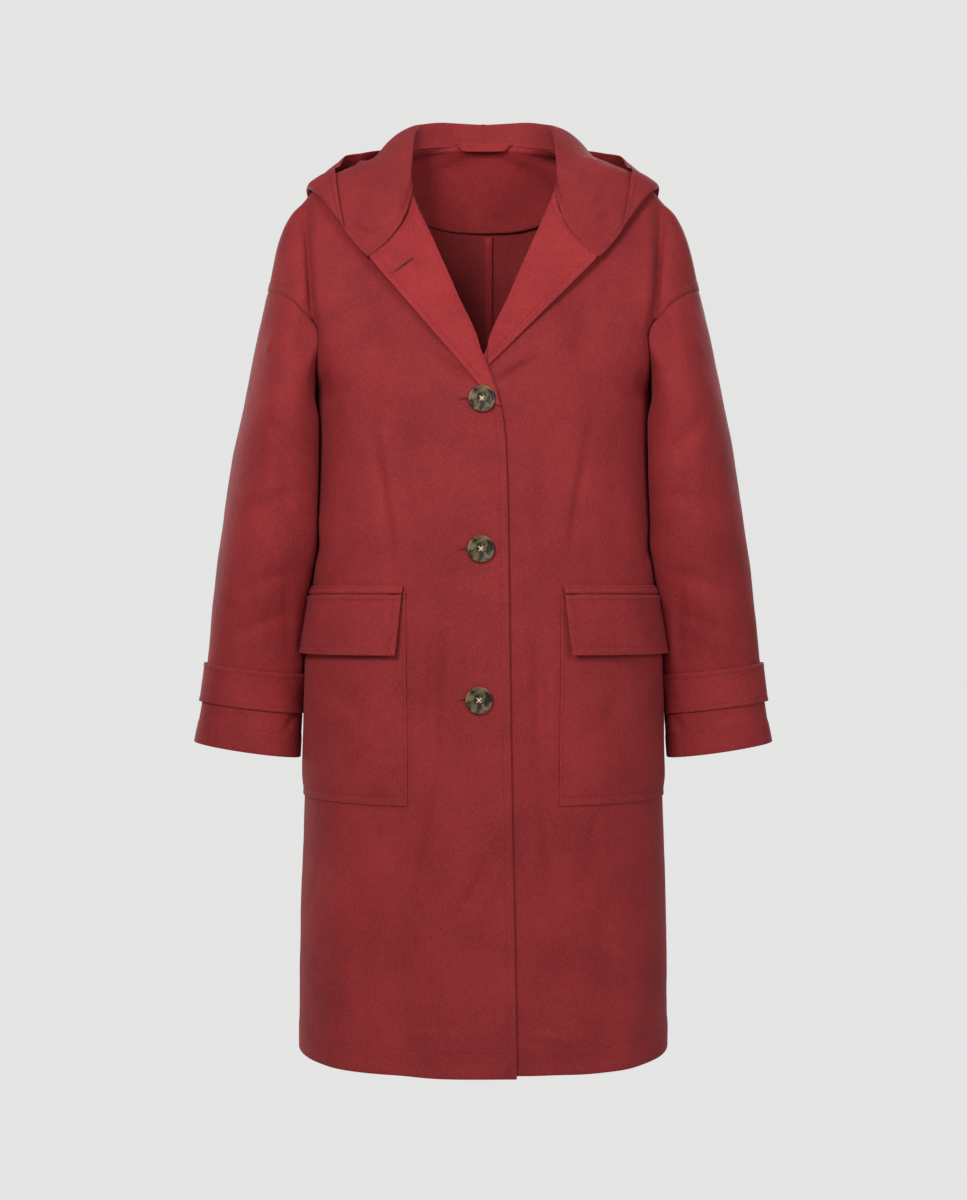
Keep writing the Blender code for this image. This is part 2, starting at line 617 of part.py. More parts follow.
def make_button(number, x, z):
    """A turned disc with a raised rim and four holes, facing -Y."""
    radius, thick = BUTTON["diameter"] / 2 * MM, BUTTON["thick"] * MM
    profile = (
        (0.0, 0.0),
        (0.82 * radius, 0.0),
        (radius, 0.45 * thick),
        (0.93 * radius, thick),
        (0.70 * radius, 0.75 * thick),
        (0.0, 0.70 * thick),
    )
    spin = 20
    bm = bmesh.new()
    verts = [[bm.verts.new((0, 0, profile[0][1]))]]
    for distance, height in profile[1:-1]:
        around = [2 * math.pi * k / spin for k in range(spin)]
        verts.append([bm.verts.new((distance * math.cos(a), distance * math.sin(a), height)) for a in around])
    verts.append([bm.verts.new((0, 0, profile[-1][1]))])
    for k in range(spin):
        n = (k + 1) % spin
        bm.faces.new((verts[0][0], verts[1][n], verts[1][k]))
        for low, high in zip(verts[1:-2], verts[2:-1]):
            bm.faces.new((low[k], low[n], high[n], high[k]))
        bm.faces.new((verts[-2][k], verts[-2][n], verts[-1][0]))
    mesh = bpy.data.meshes.new("button_" + str(number))
    bm.to_mesh(mesh)
    bm.free()
    button = add("button_" + str(number), mesh, "horn")
    surface = at_front(-1, [x * MM], [z * MM], 0)[0]
    surface[0] *= -1
    tilt = math.atan2(at_front(-1, [x * MM], [(z + 8) * MM], 0)[0][1] - surface[1], 8 * MM)
    button.location = (surface[0], surface[1] - WALL / 2 - BUTTON["clear"] * MM, surface[2])
    button.rotation_euler = (math.pi / 2 - tilt, 0, 0)
    for k in range(4):
        a = math.pi / 4 + k * math.pi / 2
        drill_mesh = bpy.data.meshes.new("drill")
        bm = bmesh.new()
        bmesh.ops.create_cone(
            bm,
            cap_ends=True,
            segments=6,
            radius1=BUTTON["hole"] / 2 * MM,
            radius2=BUTTON["hole"] / 2 * MM,
            depth=4 * thick,
        )
        bm.to_mesh(drill_mesh)
        bm.free()
        drill = bpy.data.objects.new("drill_" + str(number) + "_" + str(k), drill_mesh)
        helpers.objects.link(drill)
        drill.hide_render = True
        drill.display_type = "WIRE"
        half = BUTTON["spacing"] / 2 * MM * math.sqrt(2)
        drill.parent = button
        drill.location = (half * math.cos(a), half * math.sin(a), 0)
        cut = button.modifiers.new("hole_" + str(k), "BOOLEAN")
        cut.operation = "DIFFERENCE"
        cut.object = drill
    return button


for old in list(bpy.data.objects):
    bpy.data.objects.remove(old)
coat = bpy.data.collections.new("hooded_trench_coat")
helpers = bpy.data.collections.new("cutters")
helpers.hide_render = True
bpy.context.scene.collection.children.link(coat)
bpy.context.scene.collection.children.link(helpers)
SIDE = {-1: "right", 1: "left"}

for which_side in (-1, 1):
    make_front(which_side)
    make_back(which_side)
    make_sleeve(which_side, "front")
    make_sleeve(which_side, "back")
    make_lapel(which_side)
    make_hood(which_side)
    make_pocket(which_side)
    make_flap(which_side)
    make_strap(which_side)
make_facing()
make_loop()
for index, (button_x, button_z) in enumerate(BUTTONS):
    make_button(index + 1, button_x, button_z)
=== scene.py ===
"""A hooded red cotton coat, hollow and filled out as worn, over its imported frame.

Metres, Z up, the front faces -Y. The tables are in millimetres, for the half where x is positive, and the
other half is its mirror. Folds and seams that the picture shows are placed by its pixels, PIXEL metres each.
"""

import math

import bmesh
import bpy
import numpy as np
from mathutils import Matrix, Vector, kdtree, noise


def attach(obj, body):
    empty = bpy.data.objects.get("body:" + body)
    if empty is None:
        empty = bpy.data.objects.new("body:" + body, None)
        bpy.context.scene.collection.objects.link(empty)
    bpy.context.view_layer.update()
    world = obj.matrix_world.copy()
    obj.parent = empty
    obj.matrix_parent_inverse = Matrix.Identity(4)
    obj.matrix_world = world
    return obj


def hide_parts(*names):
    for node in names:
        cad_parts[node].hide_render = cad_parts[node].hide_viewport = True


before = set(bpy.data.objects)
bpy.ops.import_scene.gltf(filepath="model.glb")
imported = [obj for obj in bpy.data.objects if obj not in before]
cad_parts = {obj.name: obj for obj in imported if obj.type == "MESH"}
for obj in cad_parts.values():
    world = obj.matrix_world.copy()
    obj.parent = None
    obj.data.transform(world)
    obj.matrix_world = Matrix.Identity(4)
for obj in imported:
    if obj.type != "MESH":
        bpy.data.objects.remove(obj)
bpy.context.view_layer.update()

MM = 0.001
TRIM = 1.2 * MM  # the solids' lapels, pockets, flaps, straps and facing
CLOTH = 1.1 * MM  # thickness of the cloth here
LAP = 3.8 * MM  # the right front stands this far in front of the left one
HALF_PI = math.pi / 2
PIXEL = 1.1 * MM  # width of a pixel of the picture at the plane y = 0
PICTURE = (967, 1200)
CAMERA_AT = (0.0, -2.2, -0.490)
SIDE = {-1: "right", 1: "left"}

# Sections below the armpit: height, half width, front depth, back depth, squareness, rise at the side
SKIRT = (
    (-980, 200.5, 151, 152, 2.35, 6),
    (-880, 199.5, 150, 151, 2.3, 5),
    (-776, 197.5, 149, 149, 2.2, 4),
    (-700, 195.5, 147.5, 146, 2.2, 2),
    (-622, 193.8, 146, 143, 2.3, 1),
    (-535, 190.5, 143, 139, 2.45, 0),
    (-446, 186.5, 139, 134, 2.55, 0),
    (-380, 183.3, 135.5, 130, 2.6, 0),
    (-325, 181.3, 131, 127, 2.6, 0),
)
# Rows of the front above that: angle on the armhole, inner edge xyz, direction across xyz, squareness
FRONT_YOKE = (
    (180, (0, -127.0, -281), (180.5, 0, 0), 2.55),
    (140, (3.7, -116.5, -229), (174, 3, -10), 2.4),
    (105, (28, -97, -168), (149, 3.5, -21), 2.4),
    (75, (53, -67, -107), (138, -9, -21.5), 2.3),
    (45, (75, -32, -53), (124, -21, -21), 2.5),
    (20, (83.5, -8, -19), (130, -17, -18), 3.1),
    (0, (85, 10, 0), (129, -12, -38), 4.0),
)
# Rows of the back, whose inner edge runs up the centre seam and then round the neck
BACK_YOKE = (
    (180, (0, 124, -281), (180.5, 0, 0), 2.5),
    (150, (0, 121, -205), (170, 2, -8), 2.2),
    (120, (0, 113, -125), (160, 4, -18), 2.3),
    (96, (0, 96, -45), (158, 2, -30), 2.4),
    (72, (0, 70, 23), (150, 10, -50), 2.5),
    (44, (46, 59, 19), (134, 8, -40), 2.5),
    (20, (73, 36, 12), (132, 3, -36), 3.1),
    (0, (85, 10, 0), (129, -12, -38), 4.0),
)
ARMHOLE = {"centre": (209.5, 0, -212.5), "up": (27.5, 0, 60.5), "deep": (0, -75, 0), "shift": (-26, 0, 15)}
# Front edge of each front beyond the middle: height, right front, left front
FRONT_EDGE = (
    (-980, -33.3, -31),
    (-850, -31.3, -30),
    (-695, -28.3, -29),
    (-540, -26.2, -28),
    (-386, -24.3, -28),
    (-325, -22.2, -26),
    (-281, -16.0, -20),
    (-252, -8.0, -10),
    (-229, 0, 0),
)
# Sleeve sections: overarm xyz, underarm xyz, half depth, pull of front and back towards the body
SLEEVE = (
    ((237, 0, -152), (182, 0, -273), 75, (-26, 15)),
    ((248.5, 0, -205), (182.5, -18, -300), 80, (-15, 8)),
    ((261, 0, -270), (181.5, -29, -338), 82, (-6, 3)),
    ((274, -2, -336), (181.5, -34, -382), 80.5, (-2, 0)),
    ((284, -4, -402), (183.5, -33, -432), 77, (0, 0)),
    ((292.5, -6, -460), (190.0, -18, -482), 71, (0, 0)),
    ((298.5, -8, -520), (195.5, -4, -535), 62, (0, 0)),
    ((302.5, -9, -566), (197.5, -5, -579), 54, (0, 0)),
    ((308, -10, -606), (198.5, -9, -620), 49, (0, 0)),
    ((315, -10, -644), (200.8, -12, -661), 46, (0, 0)),
)
# Hood sections from the lapel's corner round to the centre seam: neck seam, ridge, under layer, outer fold,
# upper layer and opening edge
HOOD = (
    ((120.0, -85, -125.2), (120.9, -85, -125.2), (121.7, -85, -125.2), (122.6, -84.5, -125.2),
     (123.4, -84.5, -125.1), (124.1, -84, -125.1)),
    ((104.4, -78, -110.5), (111, -78, -109.5), (118, -77, -109.5), (124, -76, -110.5),
     (130, -75, -111.5), (135.5, -74, -112)),
    ((88.2, -64, -87), (99, -66, -84), (122, -64, -84), (148, -56, -90), (150, -60, -90.5), (148.5, -64, -92)),
    ((81.3, -48, -64.4), (92, -50, -58), (120, -46, -56), (168, -20, -66), (161, -32, -65), (153.7, -40, -69)),
    ((78.7, -32, -42), (85, -31, -32), (123, -20, -30), (183, 6, -48), (171, -8, -40), (158, -14, -40)),
    ((83.5, -11, -19), (82.2, -9, -8), (128, 6, -12), (194, 25, -34), (178, 14, -22), (158.6, 8, -17.5)),
    ((85, 9, 2.5), (80.5, 18, 22), (126, 34, 0), (191, 66, -56), (181, 44, -18), (154, 31, 4)),
    ((74, 36, 14.5), (77, 47, 43), (121, 68, 10), (168, 118, -130), (164, 94, -48), (136, 47, 11.5)),
    ((46, 59, 21.5), (52, 64, 47.0), (82, 100, -50), (106, 152, -212), (114, 156, -106), (96, 94, 24)),
    ((0.3, 70, 25.5), (0.3, 76, 44.5), (0.3, 116, -80), (0.3, 158, -262), (0.3, 178, -138), (0.3, 126, 10)),
)
# Lapel outline seen from the front, x and z: from the crossing up the roll line, and round by the corner
LAPEL_LOW = {-1: (-13.0, -288.0), 1: (-1.0, -252.5)}
LAPEL_CORNER = (122.1, -128.4)
LAPEL_GORGE = ((104.0, -111.6), (87.4, -88.6), (80.4, -66.0), (82.0, -47.0))
LAPEL_ROLL = {-1: (-0.18, 4.05), 1: (1.03, 4.05)}  # rows of FRONT_YOKE where its roll line starts and ends
LAPEL_TIP = {-1: 0.73, 1: 0.62}  # share of that stretch where its corner lies
LAPEL_STAND = 8.0  # how far its outer edge stands off the front

POCKET = {"inner": 77.0, "outer_angle": 87, "top": -484, "bottom": -702.6}
FLAP = {"inner_top": 79.0, "inner_low": 85.0, "top": -477, "strip": 10, "low": -547}
FLAP_ANGLE = (79, 77)  # where its far edge lies, at the top and at the bottom
FLAP_STAND = (6.0, 5.0)  # how far its lower edge stands off, at the inner and the outer corner

STRAP = {"from": 6.83, "to": 7.83, "overlap": 14}
# Lower edge of the facing: share of the way from the middle to the shoulder, angle round the body, row of BACK_YOKE
FACING = (
    (0, 0, 2.70), (0.25, 11, 2.79), (0.45, 20, 2.96), (0.6, 27, 3.2), (0.75, 32, 3.85), (0.88, 30, 5.3), (1, 25, 7),
)
LOOP = {"half_top": 31.3, "half_low": 23.6, "top": 25.0, "low": 16.5}
BUTTONS = ((1.6, -282.0), (2.6, -437.5), (4.6, -593.0))  # x and z of each, on the picture's left of the middle
BUTTON = {"diameter": 28.0, "thick": 4.0, "hole": 2.4, "spacing": 5.0, "clear": 0.5}

# The trough where the sleeve cap meets the body, from its top to its low end
TROUGH = {"top": (195, -48), "low": (183, -200), "width": 9.0, "depth": 8.0}
# Fullness of the body beside the sleeves, and of the sleeves in front of the body
UNDERARM = {"y": 18, "width": 22, "from": -700, "to": -300, "out": 5.0}
INNER_ARM = {"degrees": 154, "width": 24, "in": 8.5}
# Largest folds of the body: front or back, half it lies on, x, from z, to z, half width, depth. A negative
# depth is a ridge.
DRAPES = (
    ("front", -1, 84, -1000, -640, 24, 3.5),
    ("front", 1, 80, -1000, -660, 24, 4.0),
    ("front", -1, 118, -330, -150, 16, 3.5),
    ("front", 1, 116, -330, -150, 17, 3.5),
    ("front", -1, 150, -1000, -720, 20, -3.0),
    ("front", 1, 146, -1000, -735, 20, -3.0),
    ("back", -1, 75, -1000, -500, 26, 5.0),
    ("back", 1, 70, -1000, -560, 26, 5.0),
    ("back", -1, 140, -1000, -450, 24, 4.5),
    ("back", 1, 145, -1000, -420, 24, 4.5),
)


def spline(knots, values, at):
    """A curve through a table's rows that never overshoots a row, at every place in at."""
    knots = np.asarray(knots, float)
    values = np.asarray(values, float).reshape(len(knots), -1)
    step = np.diff(knots)[:, None]
    slope = np.diff(values, axis=0) / step
    tangent = np.zeros_like(values)
    before, after = slope[:-1], slope[1:]
    same = before * after > 0
    weight_a = 2 * step[1:] + step[:-1]
    weight_b = step[1:] + 2 * step[:-1]
    safe_a = np.where(same, before, 1)
    safe_b = np.where(same, after, 1)
    mean = (weight_a + weight_b) / (weight_a / safe_a + weight_b / safe_b)
    tangent[1:-1] = np.where(same, mean, 0)
    tangent[0] = slope[0]
    tangent[-1] = slope[-1]
    at = np.clip(np.asarray(at, float), knots[0], knots[-1])
    row = np.clip(np.searchsorted(knots, at, side="right") - 1, 0, len(knots) - 2)
    width = np.diff(knots)[row]
    t = ((at - knots[row]) / width)[:, None]
    h = width[:, None]
    return (
        (1 + 2 * t) * (1 - t) ** 2 * values[row]
        + t * (1 - t) ** 2 * h * tangent[row]
        + t * t * (3 - 2 * t) * values[row + 1]
        + t * t * (t - 1) * h * tangent[row + 1]
    )


def through(points, at):
    """A rounded curve through a few points. points is (count, many, 3) and at runs from 0 to 1."""
    points = np.asarray(points, float)
    count = len(points)
    before = np.concatenate([2 * points[:1] - points[1:2], points])
    after = np.concatenate([points, 2 * points[-1:] - points[-2:-1]])
    tangent = (after[1:] - before[:-1]) / 2
    place = np.clip(np.asarray(at, float) * (count - 1), 0, count - 1 - 1e-9)
    row = place.astype(int)
    t = (place - row)[:, None]
    many = np.arange(points.shape[1])
    return (
        (1 + 2 * t) * (1 - t) ** 2 * points[row, many]
        + t * (1 - t) ** 2 * tangent[row, many]
        + t * t * (3 - 2 * t) * points[row + 1, many]
        + t * t * (t - 1) * tangent[row + 1, many]
    )


def ease(low, high, x):
    """0 below low and 1 above high, with a soft step between."""
    t = np.clip((np.asarray(x, float) - low) / (high - low), 0, 1)
    return t * t * (3 - 2 * t)


def armhole(degrees):
    """Points of the armhole, from its top at 0 over the front at 90 to the armpit at 180."""
    turn = np.radians(np.asarray(degrees, float))[:, None]
    part = {name: np.array(value, float)[None, :] * MM for name, value in ARMHOLE.items()}
    loop = part["centre"] + np.cos(turn) * part["up"] + np.sin(turn) * part["deep"]
    return loop + np.sin(turn) ** 2 * part["shift"]


def rows_of(which):
    """Inner edge, outer edge, direction across and squareness of every row of a front or a back."""
    column = 2 if which == "front" else 3
    sign = -1 if which == "front" else 1
    rows = []
    for section in SKIRT:
        height, half = section[0] * MM, section[1] * MM
        depth = sign * section[column] * MM
        rows.append([0, depth, height, half, 0, height + section[5] * MM, half, 0, 0, section[4]])
    for angle, inner, across, square in FRONT_YOKE if which == "front" else BACK_YOKE:
        outer = armhole([-sign * angle])[0]
        across = np.array(across, float) * MM
        rows.append([*(np.array(inner, float) * MM), *outer, *across, square])
    return np.array(rows)


ROWS = {"front": rows_of("front"), "back": rows_of("back")}
YOKE = len(SKIRT)  # row where the armpit lies
TOP = {which: len(rows) - 1 for which, rows in ROWS.items()}


def plain(which, turn, row):
    """A front or back without folds. turn is the angle round the body: 0 at the inner edge, half pi at the side."""
    turn = np.asarray(turn, float)
    table = spline(np.arange(len(ROWS[which])), ROWS[which], row)
    inner, outer, across, square = table[:, :3], table[:, 3:6], table[:, 6:9], table[:, 9]
    sine, cosine = np.sin(turn), np.cos(turn)
    size = (np.abs(sine) ** square + np.abs(cosine) ** square) ** (-1 / square)
    rest = outer - inner - across
    return inner + across * (size * sine)[:, None] + rest * (1 - size * cosine)[:, None]


def normals(shape, turn, row):
    """Outward normals of a surface given as a function of turn and row."""
    d = 1e-4
    along = shape(turn + d, row) - shape(turn - d, row)
    inside = np.clip(row, d, None)
    up = shape(turn, inside + d) - shape(turn, inside - d)
    normal = np.cross(along, up)
    length = np.linalg.norm(normal, axis=1, keepdims=True)
    return normal / np.maximum(length, 1e-12)


def outward(which, turn, row):
    top = TOP[which] - 2e-4
    normal = normals(lambda a, b: plain(which, a, np.minimum(b, TOP[which])), turn, np.minimum(row, top))
    return normal if which == "front" else -normal


def fold_depth(which, side, points):
    """How far the folds push a surface in, at points of its plain form."""
    x, z = points[:, 0] / MM, points[:, 2] / MM
    depth = np.zeros(len(points))
    top, low = TROUGH["top"], TROUGH["low"]
    part = np.clip((z - low[1]) / (top[1] - low[1]), -0.5, 1.5)
    line = low[0] + (top[0] - low[0]) * part
    fade = ease(low[1] - 45, low[1] + 5, z) * (1 - ease(top[1] - 25, top[1] + 8, z))
    depth += TROUGH["depth"] * fade * np.exp(-(((x - line) / TROUGH["width"]) ** 2))
    for cloth, half, where, start, end, width, deep in DRAPES:
        if cloth != which or half != side:
            continue
        run = (z - start) / (end - start)
        fade = ease(0, 0.12, run) * (1 - ease(0.45, 1, run)) if start > -1000 else 1 - ease(0.1, 1, run)
        depth += deep * fade * np.exp(-(((x - where) / width) ** 2))
    y = points[:, 1] / MM
    reach = ease(UNDERARM["from"], UNDERARM["from"] + 140, z) * (1 - ease(UNDERARM["to"] - 45, UNDERARM["to"], z))
    beside = np.exp(-(((y - UNDERARM["y"]) / UNDERARM["width"]) ** 2)) * ease(90, 130, x)
    depth -= UNDERARM["out"] * reach * beside
    return depth * MM


def body(which, side, turn, row, out=0.0):
    """A front or back with its folds, moved out by out metres. side is 1 on the wearer's left."""
    base = plain(which, turn, row)
    normal = outward(which, turn, row)
    move = out - fold_depth(which, side, base)
    if which == "front" and side < 0:
        lap = 1 - ease(42 * MM, 95 * MM, base[:, 0])
        move = move + LAP * lap * (1 - ease(YOKE + 0.9, YOKE + 1.8, row))
    points = base + normal * np.reshape(move, (-1, 1))
    if which == "front" and side > 0:
        points[:, 2] += 3 * MM * (1 - ease(-0.98, -0.8, base[:, 2])) * (1 - ease(0, 0.12, base[:, 0]))
    return points


def edge_turn(side, row):
    """The angle round the body at which a front ends, past the middle."""
    base = plain("front", np.zeros_like(row), row)
    table = np.array(FRONT_EDGE)
    reach = spline(table[:, 0], table[:, 1:], base[:, 2] / MM)[:, 0 if side < 0 else 1] * MM
    across = spline(np.arange(len(ROWS["front"])), ROWS["front"], row)[:, 6]
    return np.arcsin(np.clip(reach / across, -0.9, 0.9))


def at_front(side, x, z, out):
    """The point of a front that is seen at x and z from the front, moved out."""
    x, z = np.asarray(x, float), np.asarray(z, float)
    turns, rows = np.meshgrid(np.linspace(-0.2, HALF_PI, 40), np.linspace(0, TOP["front"], 90))
    turns, rows = turns.ravel(), rows.ravel()
    seen = body("front", side, turns, rows)
    near = [np.argmin((seen[:, 0] - a) ** 2 + (seen[:, 2] - b) ** 2) for a, b in zip(x, z)]
    turn, row = turns[near], rows[near]
    d = 1e-4
    for _ in range(12):
        here = body("front", side, turn, row)
        by_turn = (body("front", side, turn + d, row) - here) / d
        by_row = (body("front", side, turn, np.minimum(row, TOP["front"] - d) + d) - here) / d
        miss_x, miss_z = x - here[:, 0], z - here[:, 2]
        scale = by_turn[:, 0] * by_row[:, 2] - by_turn[:, 2] * by_row[:, 0]
        scale = np.where(np.abs(scale) < 1e-7, 1e-7, scale)
        turn = turn + np.clip((miss_x * by_row[:, 2] - miss_z * by_row[:, 0]) / scale, -0.15, 0.15)
        row = row + np.clip((miss_z * by_turn[:, 0] - miss_x * by_turn[:, 2]) / scale, -0.5, 0.5)
        row = np.clip(row, 0, TOP["front"] - 2 * d)
        turn = np.clip(turn, -0.35, HALF_PI)
    return body("front", side, turn, row) + outward("front", turn, row) * np.reshape(out, (-1, 1))


def cloud(which, side):
    """Many points of a front or back, with their outward normals."""
    turns, rows = np.meshgrid(np.linspace(0, HALF_PI, 56), np.linspace(0, TOP[which], 110))
    turns, rows = turns.ravel(), rows.ravel()
    return body(which, side, turns, rows), outward(which, turns, rows)


def panel_edge(side, degrees):
    """The edge of the front and the back round the armhole, with their folds."""
    degrees = np.asarray(degrees, float)
    edge = np.zeros((len(degrees), 3))
    for which, here in (("front", degrees >= 0), ("back", degrees < 0)):
        rows = yoke_row(which, np.abs(degrees[here]))
        if here.any():
            edge[here] = body(which, side, np.full(len(rows), HALF_PI), rows)
    return edge


def sleeve(side, degrees, station, out=0.0):
    """The sleeve, from its overarm at 0 over the front at 90 to the underarm at 180."""
    turn = np.radians(np.asarray(degrees, float))
    table = []
    for over, under, deep, pull in SLEEVE:
        over, under = np.array(over, float), np.array(under, float)
        table.append([*((over + under) / 2), *((over - under) / 2), deep, *pull])
    at = spline(np.arange(len(table)), np.array(table) * MM, station)
    cosine, sine = np.cos(turn)[:, None], np.sin(turn)[:, None]
    points = at[:, :3] + cosine * at[:, 3:6]
    points[:, 1] -= sine[:, 0] * at[:, 6]
    points[:, 0] += sine[:, 0] ** 2 * at[:, 7]
    points[:, 2] += sine[:, 0] ** 2 * at[:, 8]
    start = 1 - ease(0, 1.2, station)
    points += (panel_edge(side, degrees) - armhole(degrees)) * start[:, None]
    points[:, 0] += 3.0 * MM * start * ((1 - cosine[:, 0]) / 2) ** 2
    inner = np.exp(-(((np.asarray(degrees) - INNER_ARM["degrees"]) / INNER_ARM["width"]) ** 2))
    points[:, 0] -= INNER_ARM["in"] * MM * inner * ease(0.3, 1.3, station) * (1 - ease(6.6, 7.6, station))
    if np.any(out):
        across = np.stack([cosine[:, 0] / np.maximum(at[:, 3], 0.02), -sine[:, 0] / at[:, 6]], axis=1)
        across /= np.linalg.norm(across, axis=1, keepdims=True)
        points[:, 0] += across[:, 0] * out
        points[:, 1] += across[:, 1] * out
    return points


def mirrored(points, side):
    points = np.array(points, float)
    points[:, 0] *= side
    return points


def yoke_row(which, degrees):
    """The row of a front or back whose outer edge lies at this angle on the armhole."""
    yoke = FRONT_YOKE if which == "front" else BACK_YOKE
    angles = [row[0] for row in yoke]
    return YOKE + np.interp(-np.asarray(degrees, float), -np.array(angles, float), np.arange(len(yoke)))


LOW_LINES, YOKE_LINES = 17, 10  # rows of faces below and above the armpit, the same on fronts, backs and sleeves


def level(which, t):
    """The row at t from 0 at the hem to 1 at the shoulder, so that neighbours share their points."""
    line = np.asarray(t, float) * (LOW_LINES + YOKE_LINES)
    low = np.clip(line / LOW_LINES, 0, 1)
    height = [section[0] for section in SKIRT] + [FRONT_YOKE[0][1][2]]
    below = np.interp(height[0] + (height[-1] - height[0]) * low, height, np.arange(YOKE + 1))
    above = yoke_row(which, 180 - 180 * np.clip((line - LOW_LINES) / YOKE_LINES, 0, 1))
    return np.where(line <= LOW_LINES, below, above)


def lapel_outline(side, s):
    """x and z of the roll line and of the outer edge, at places from the crossing to the top."""
    first, last = LAPEL_ROLL[side]
    row = YOKE + first + (last - first) * s
    roll = plain("front", edge_turn(side, row), row)[:, [0, 2]]
    corner = LAPEL_TIP[side]
    low, tip = np.array(LAPEL_LOW[side]) * MM, np.array(LAPEL_CORNER) * MM
    lower = low + (tip - low) * np.clip(s / corner, 0, 1)[:, None]
    gorge = np.array([LAPEL_CORNER, *LAPEL_GORGE]) * MM
    upper = spline(np.arange(len(gorge)), gorge, np.clip((s - corner) / (1 - corner), 0, 1) * (len(gorge) - 1))
    return roll, np.where((s < corner)[:, None], lower, upper)


HOOD_PLACES = (0, 0.1, 0.17, 0.23, 0.31, 0.4, 0.48, 0.54, 0.58, 0.62, 0.67, 0.74, 0.82, 0.91, 1)


def hood(s, t):
    """The hood half. s runs from the neck seam over the fold to the opening edge, t from the front to the back."""
    table = np.array(HOOD, float) * MM
    count = table.shape[1]
    place = np.asarray(t, float) * (len(HOOD) - 1)
    rails = np.stack([spline(np.arange(len(HOOD)), table[:, k], place) for k in range(count)])
    return through(rails, s)



def both_sides(rows):
    """Each fold of the picture's left side, followed by its mirror image on the right."""
    width = PICTURE[0]
    return [
        fold
        for x, z, end_x, end_z, half, depth, bow in rows
        for fold in ((x, z, end_x, end_z, half, depth, bow), (width - x, z, width - end_x, end_z, half, depth, -bow))
    ]


# Folds of the fronts and the sleeves where the picture shows them, in its pixels: start, end, half width, depth in
# millimetres, and how far the middle bows aside. A negative depth is a ridge.
FRONT_FOLDS = (
    (304.5, 206, 313.5, 345, 2.6, 6.5, 0),
    (312, 206, 321, 345, 5, -1.6, 0),
    (662.5, 206, 653.5, 345, 2.6, 6.5, 0),
    (655, 206, 646, 345, 5, -1.6, 0),
    (355, 290, 392, 372, 15, 4.0, 0),
    (427, 350, 480, 383, 4.0, 4.3, 2),
    (440, 345, 478, 368, 7, -2.2, 0),
    (493, 384, 544, 357, 4.2, 4.3, -2),
    (500, 372, 538, 350, 7, -2.0, 0),
    (324, 366, 328, 408, 5, 2.4, 2),
    (350, 380, 325, 405, 5, 2.4, 0),
    (641, 366, 639, 408, 5, 2.4, -2),
    (615, 380, 640, 405, 5, 2.4, 0),
    (316, 528, 323, 566, 5, 3.2, 2),
    (651, 528, 644, 566, 5, 3.2, -2),
    (371, 425, 394, 580, 3.4, 3.6, -3),
    (379, 425, 402, 580, 6, -1.8, -3),
    (592, 425, 569, 575, 3.4, 3.4, 3),
    (584, 425, 560, 575, 6, -1.6, 3),
    (540, 420, 542, 600, 8, 2.3, -2),
    (432, 420, 420, 520, 8, 1.8, 3),
    (590, 280, 578, 380, 13, 3.6, 0),
    (445, 526, 474, 545, 5, 1.6, 0),
    (440, 584, 474, 560, 5, 1.8, 0),
    (352, 470, 340, 580, 9, 1.6, 0),
    (612, 470, 622, 580, 9, 1.6, 0),
    (438, 600, 431, 800, 9, 5.8, 2),
    (420, 640, 417, 830, 6, -2.5, 2),
    (431, 770, 404, 905, 7, 4.7, -2),
    (535, 610, 541, 800, 8, 5.0, -2),
    (548, 640, 551, 830, 6, -2.3, -2),
    (541, 780, 560, 905, 7, 4.1, 2),
    (492, 850, 446, 928, 7, 4.7, -6),
    (500, 862, 466, 925, 8, -2.2, -5),
    (513, 845, 543, 930, 7, 3.6, 3),
    (465, 620, 470, 700, 6, 1.4, 0),
    (374, 880, 352, 1030, 14, 2.7, 0),
    (596, 880, 618, 1030, 14, 2.7, 0),
    (440, 940, 425, 1040, 10, 2.2, 0),
    (560, 940, 575, 1040, 10, 2.2, 0),
    (340, 808, 352, 850, 4, 1.6, 0),
    (372, 808, 380, 846, 4, 1.4, 0),
    (600, 808, 590, 850, 4, 1.6, 0),
    (330, 680, 400, 760, 10, 1.3, 0),
    (640, 680, 570, 760, 10, 1.3, 0),
    (408, 1037, 440, 1034, 3.5, -2.3, -2),
    (524, 1037, 572, 1042, 3.5, -2.3, -2),
)
SLEEVE_FOLDS = both_sides((
    (262, 412, 309, 462, 8, 3.6, 3),
    (244, 512, 306, 492, 8, 3.0, -3),
    (232, 596, 300, 570, 7, 3.3, -3),
    (222, 640, 296, 612, 6, 2.4, -2),
    (288, 350, 286, 560, 9, 2.4, 3),
    (285, 330, 270, 520, 12, -2.4, 0),
    (286, 575, 290, 662, 5, 3.0, 0),
    (258, 560, 262, 662, 7, -2.1, 0),
    (240, 711, 247, 724, 3, 2.1, 0),
    (296, 710, 284, 736, 4, 2.2, 0),
))
# Folds of the back, as x and z in millimetres: start, end, half width, depth, bow
BACK_FOLDS = (
    (-95, -300, -30, -420, 22, 1.6, 6),
    (95, -300, 30, -420, 22, 1.6, -6),
    (-120, -560, -95, -960, 24, 2.2, 0),
    (118, -540, 100, -960, 24, 2.0, 0),
    (40, -620, 52, -960, 18, -1.6, 0),
    (-44, -660, -50, -960, 18, -1.4, 0),
)

HOOD_FOLDS = (
    (361, 154, 361, 184, 3.0, 2.6, 0),
    (396, 162, 401, 220, 7, 3.4, 2),
    (354, 221, 390, 235, 3.5, 2.4, 1),
    (378, 172, 386, 216, 6, -1.6, 0),
    (350, 190, 362, 216, 4, 1.6, 2),
    (604, 162, 582, 216, 5, 2.8, -3),
    (592, 156, 568, 192, 4.0, 2.4, 2),
    (620, 194, 578, 230, 5, 2.4, 0),
)

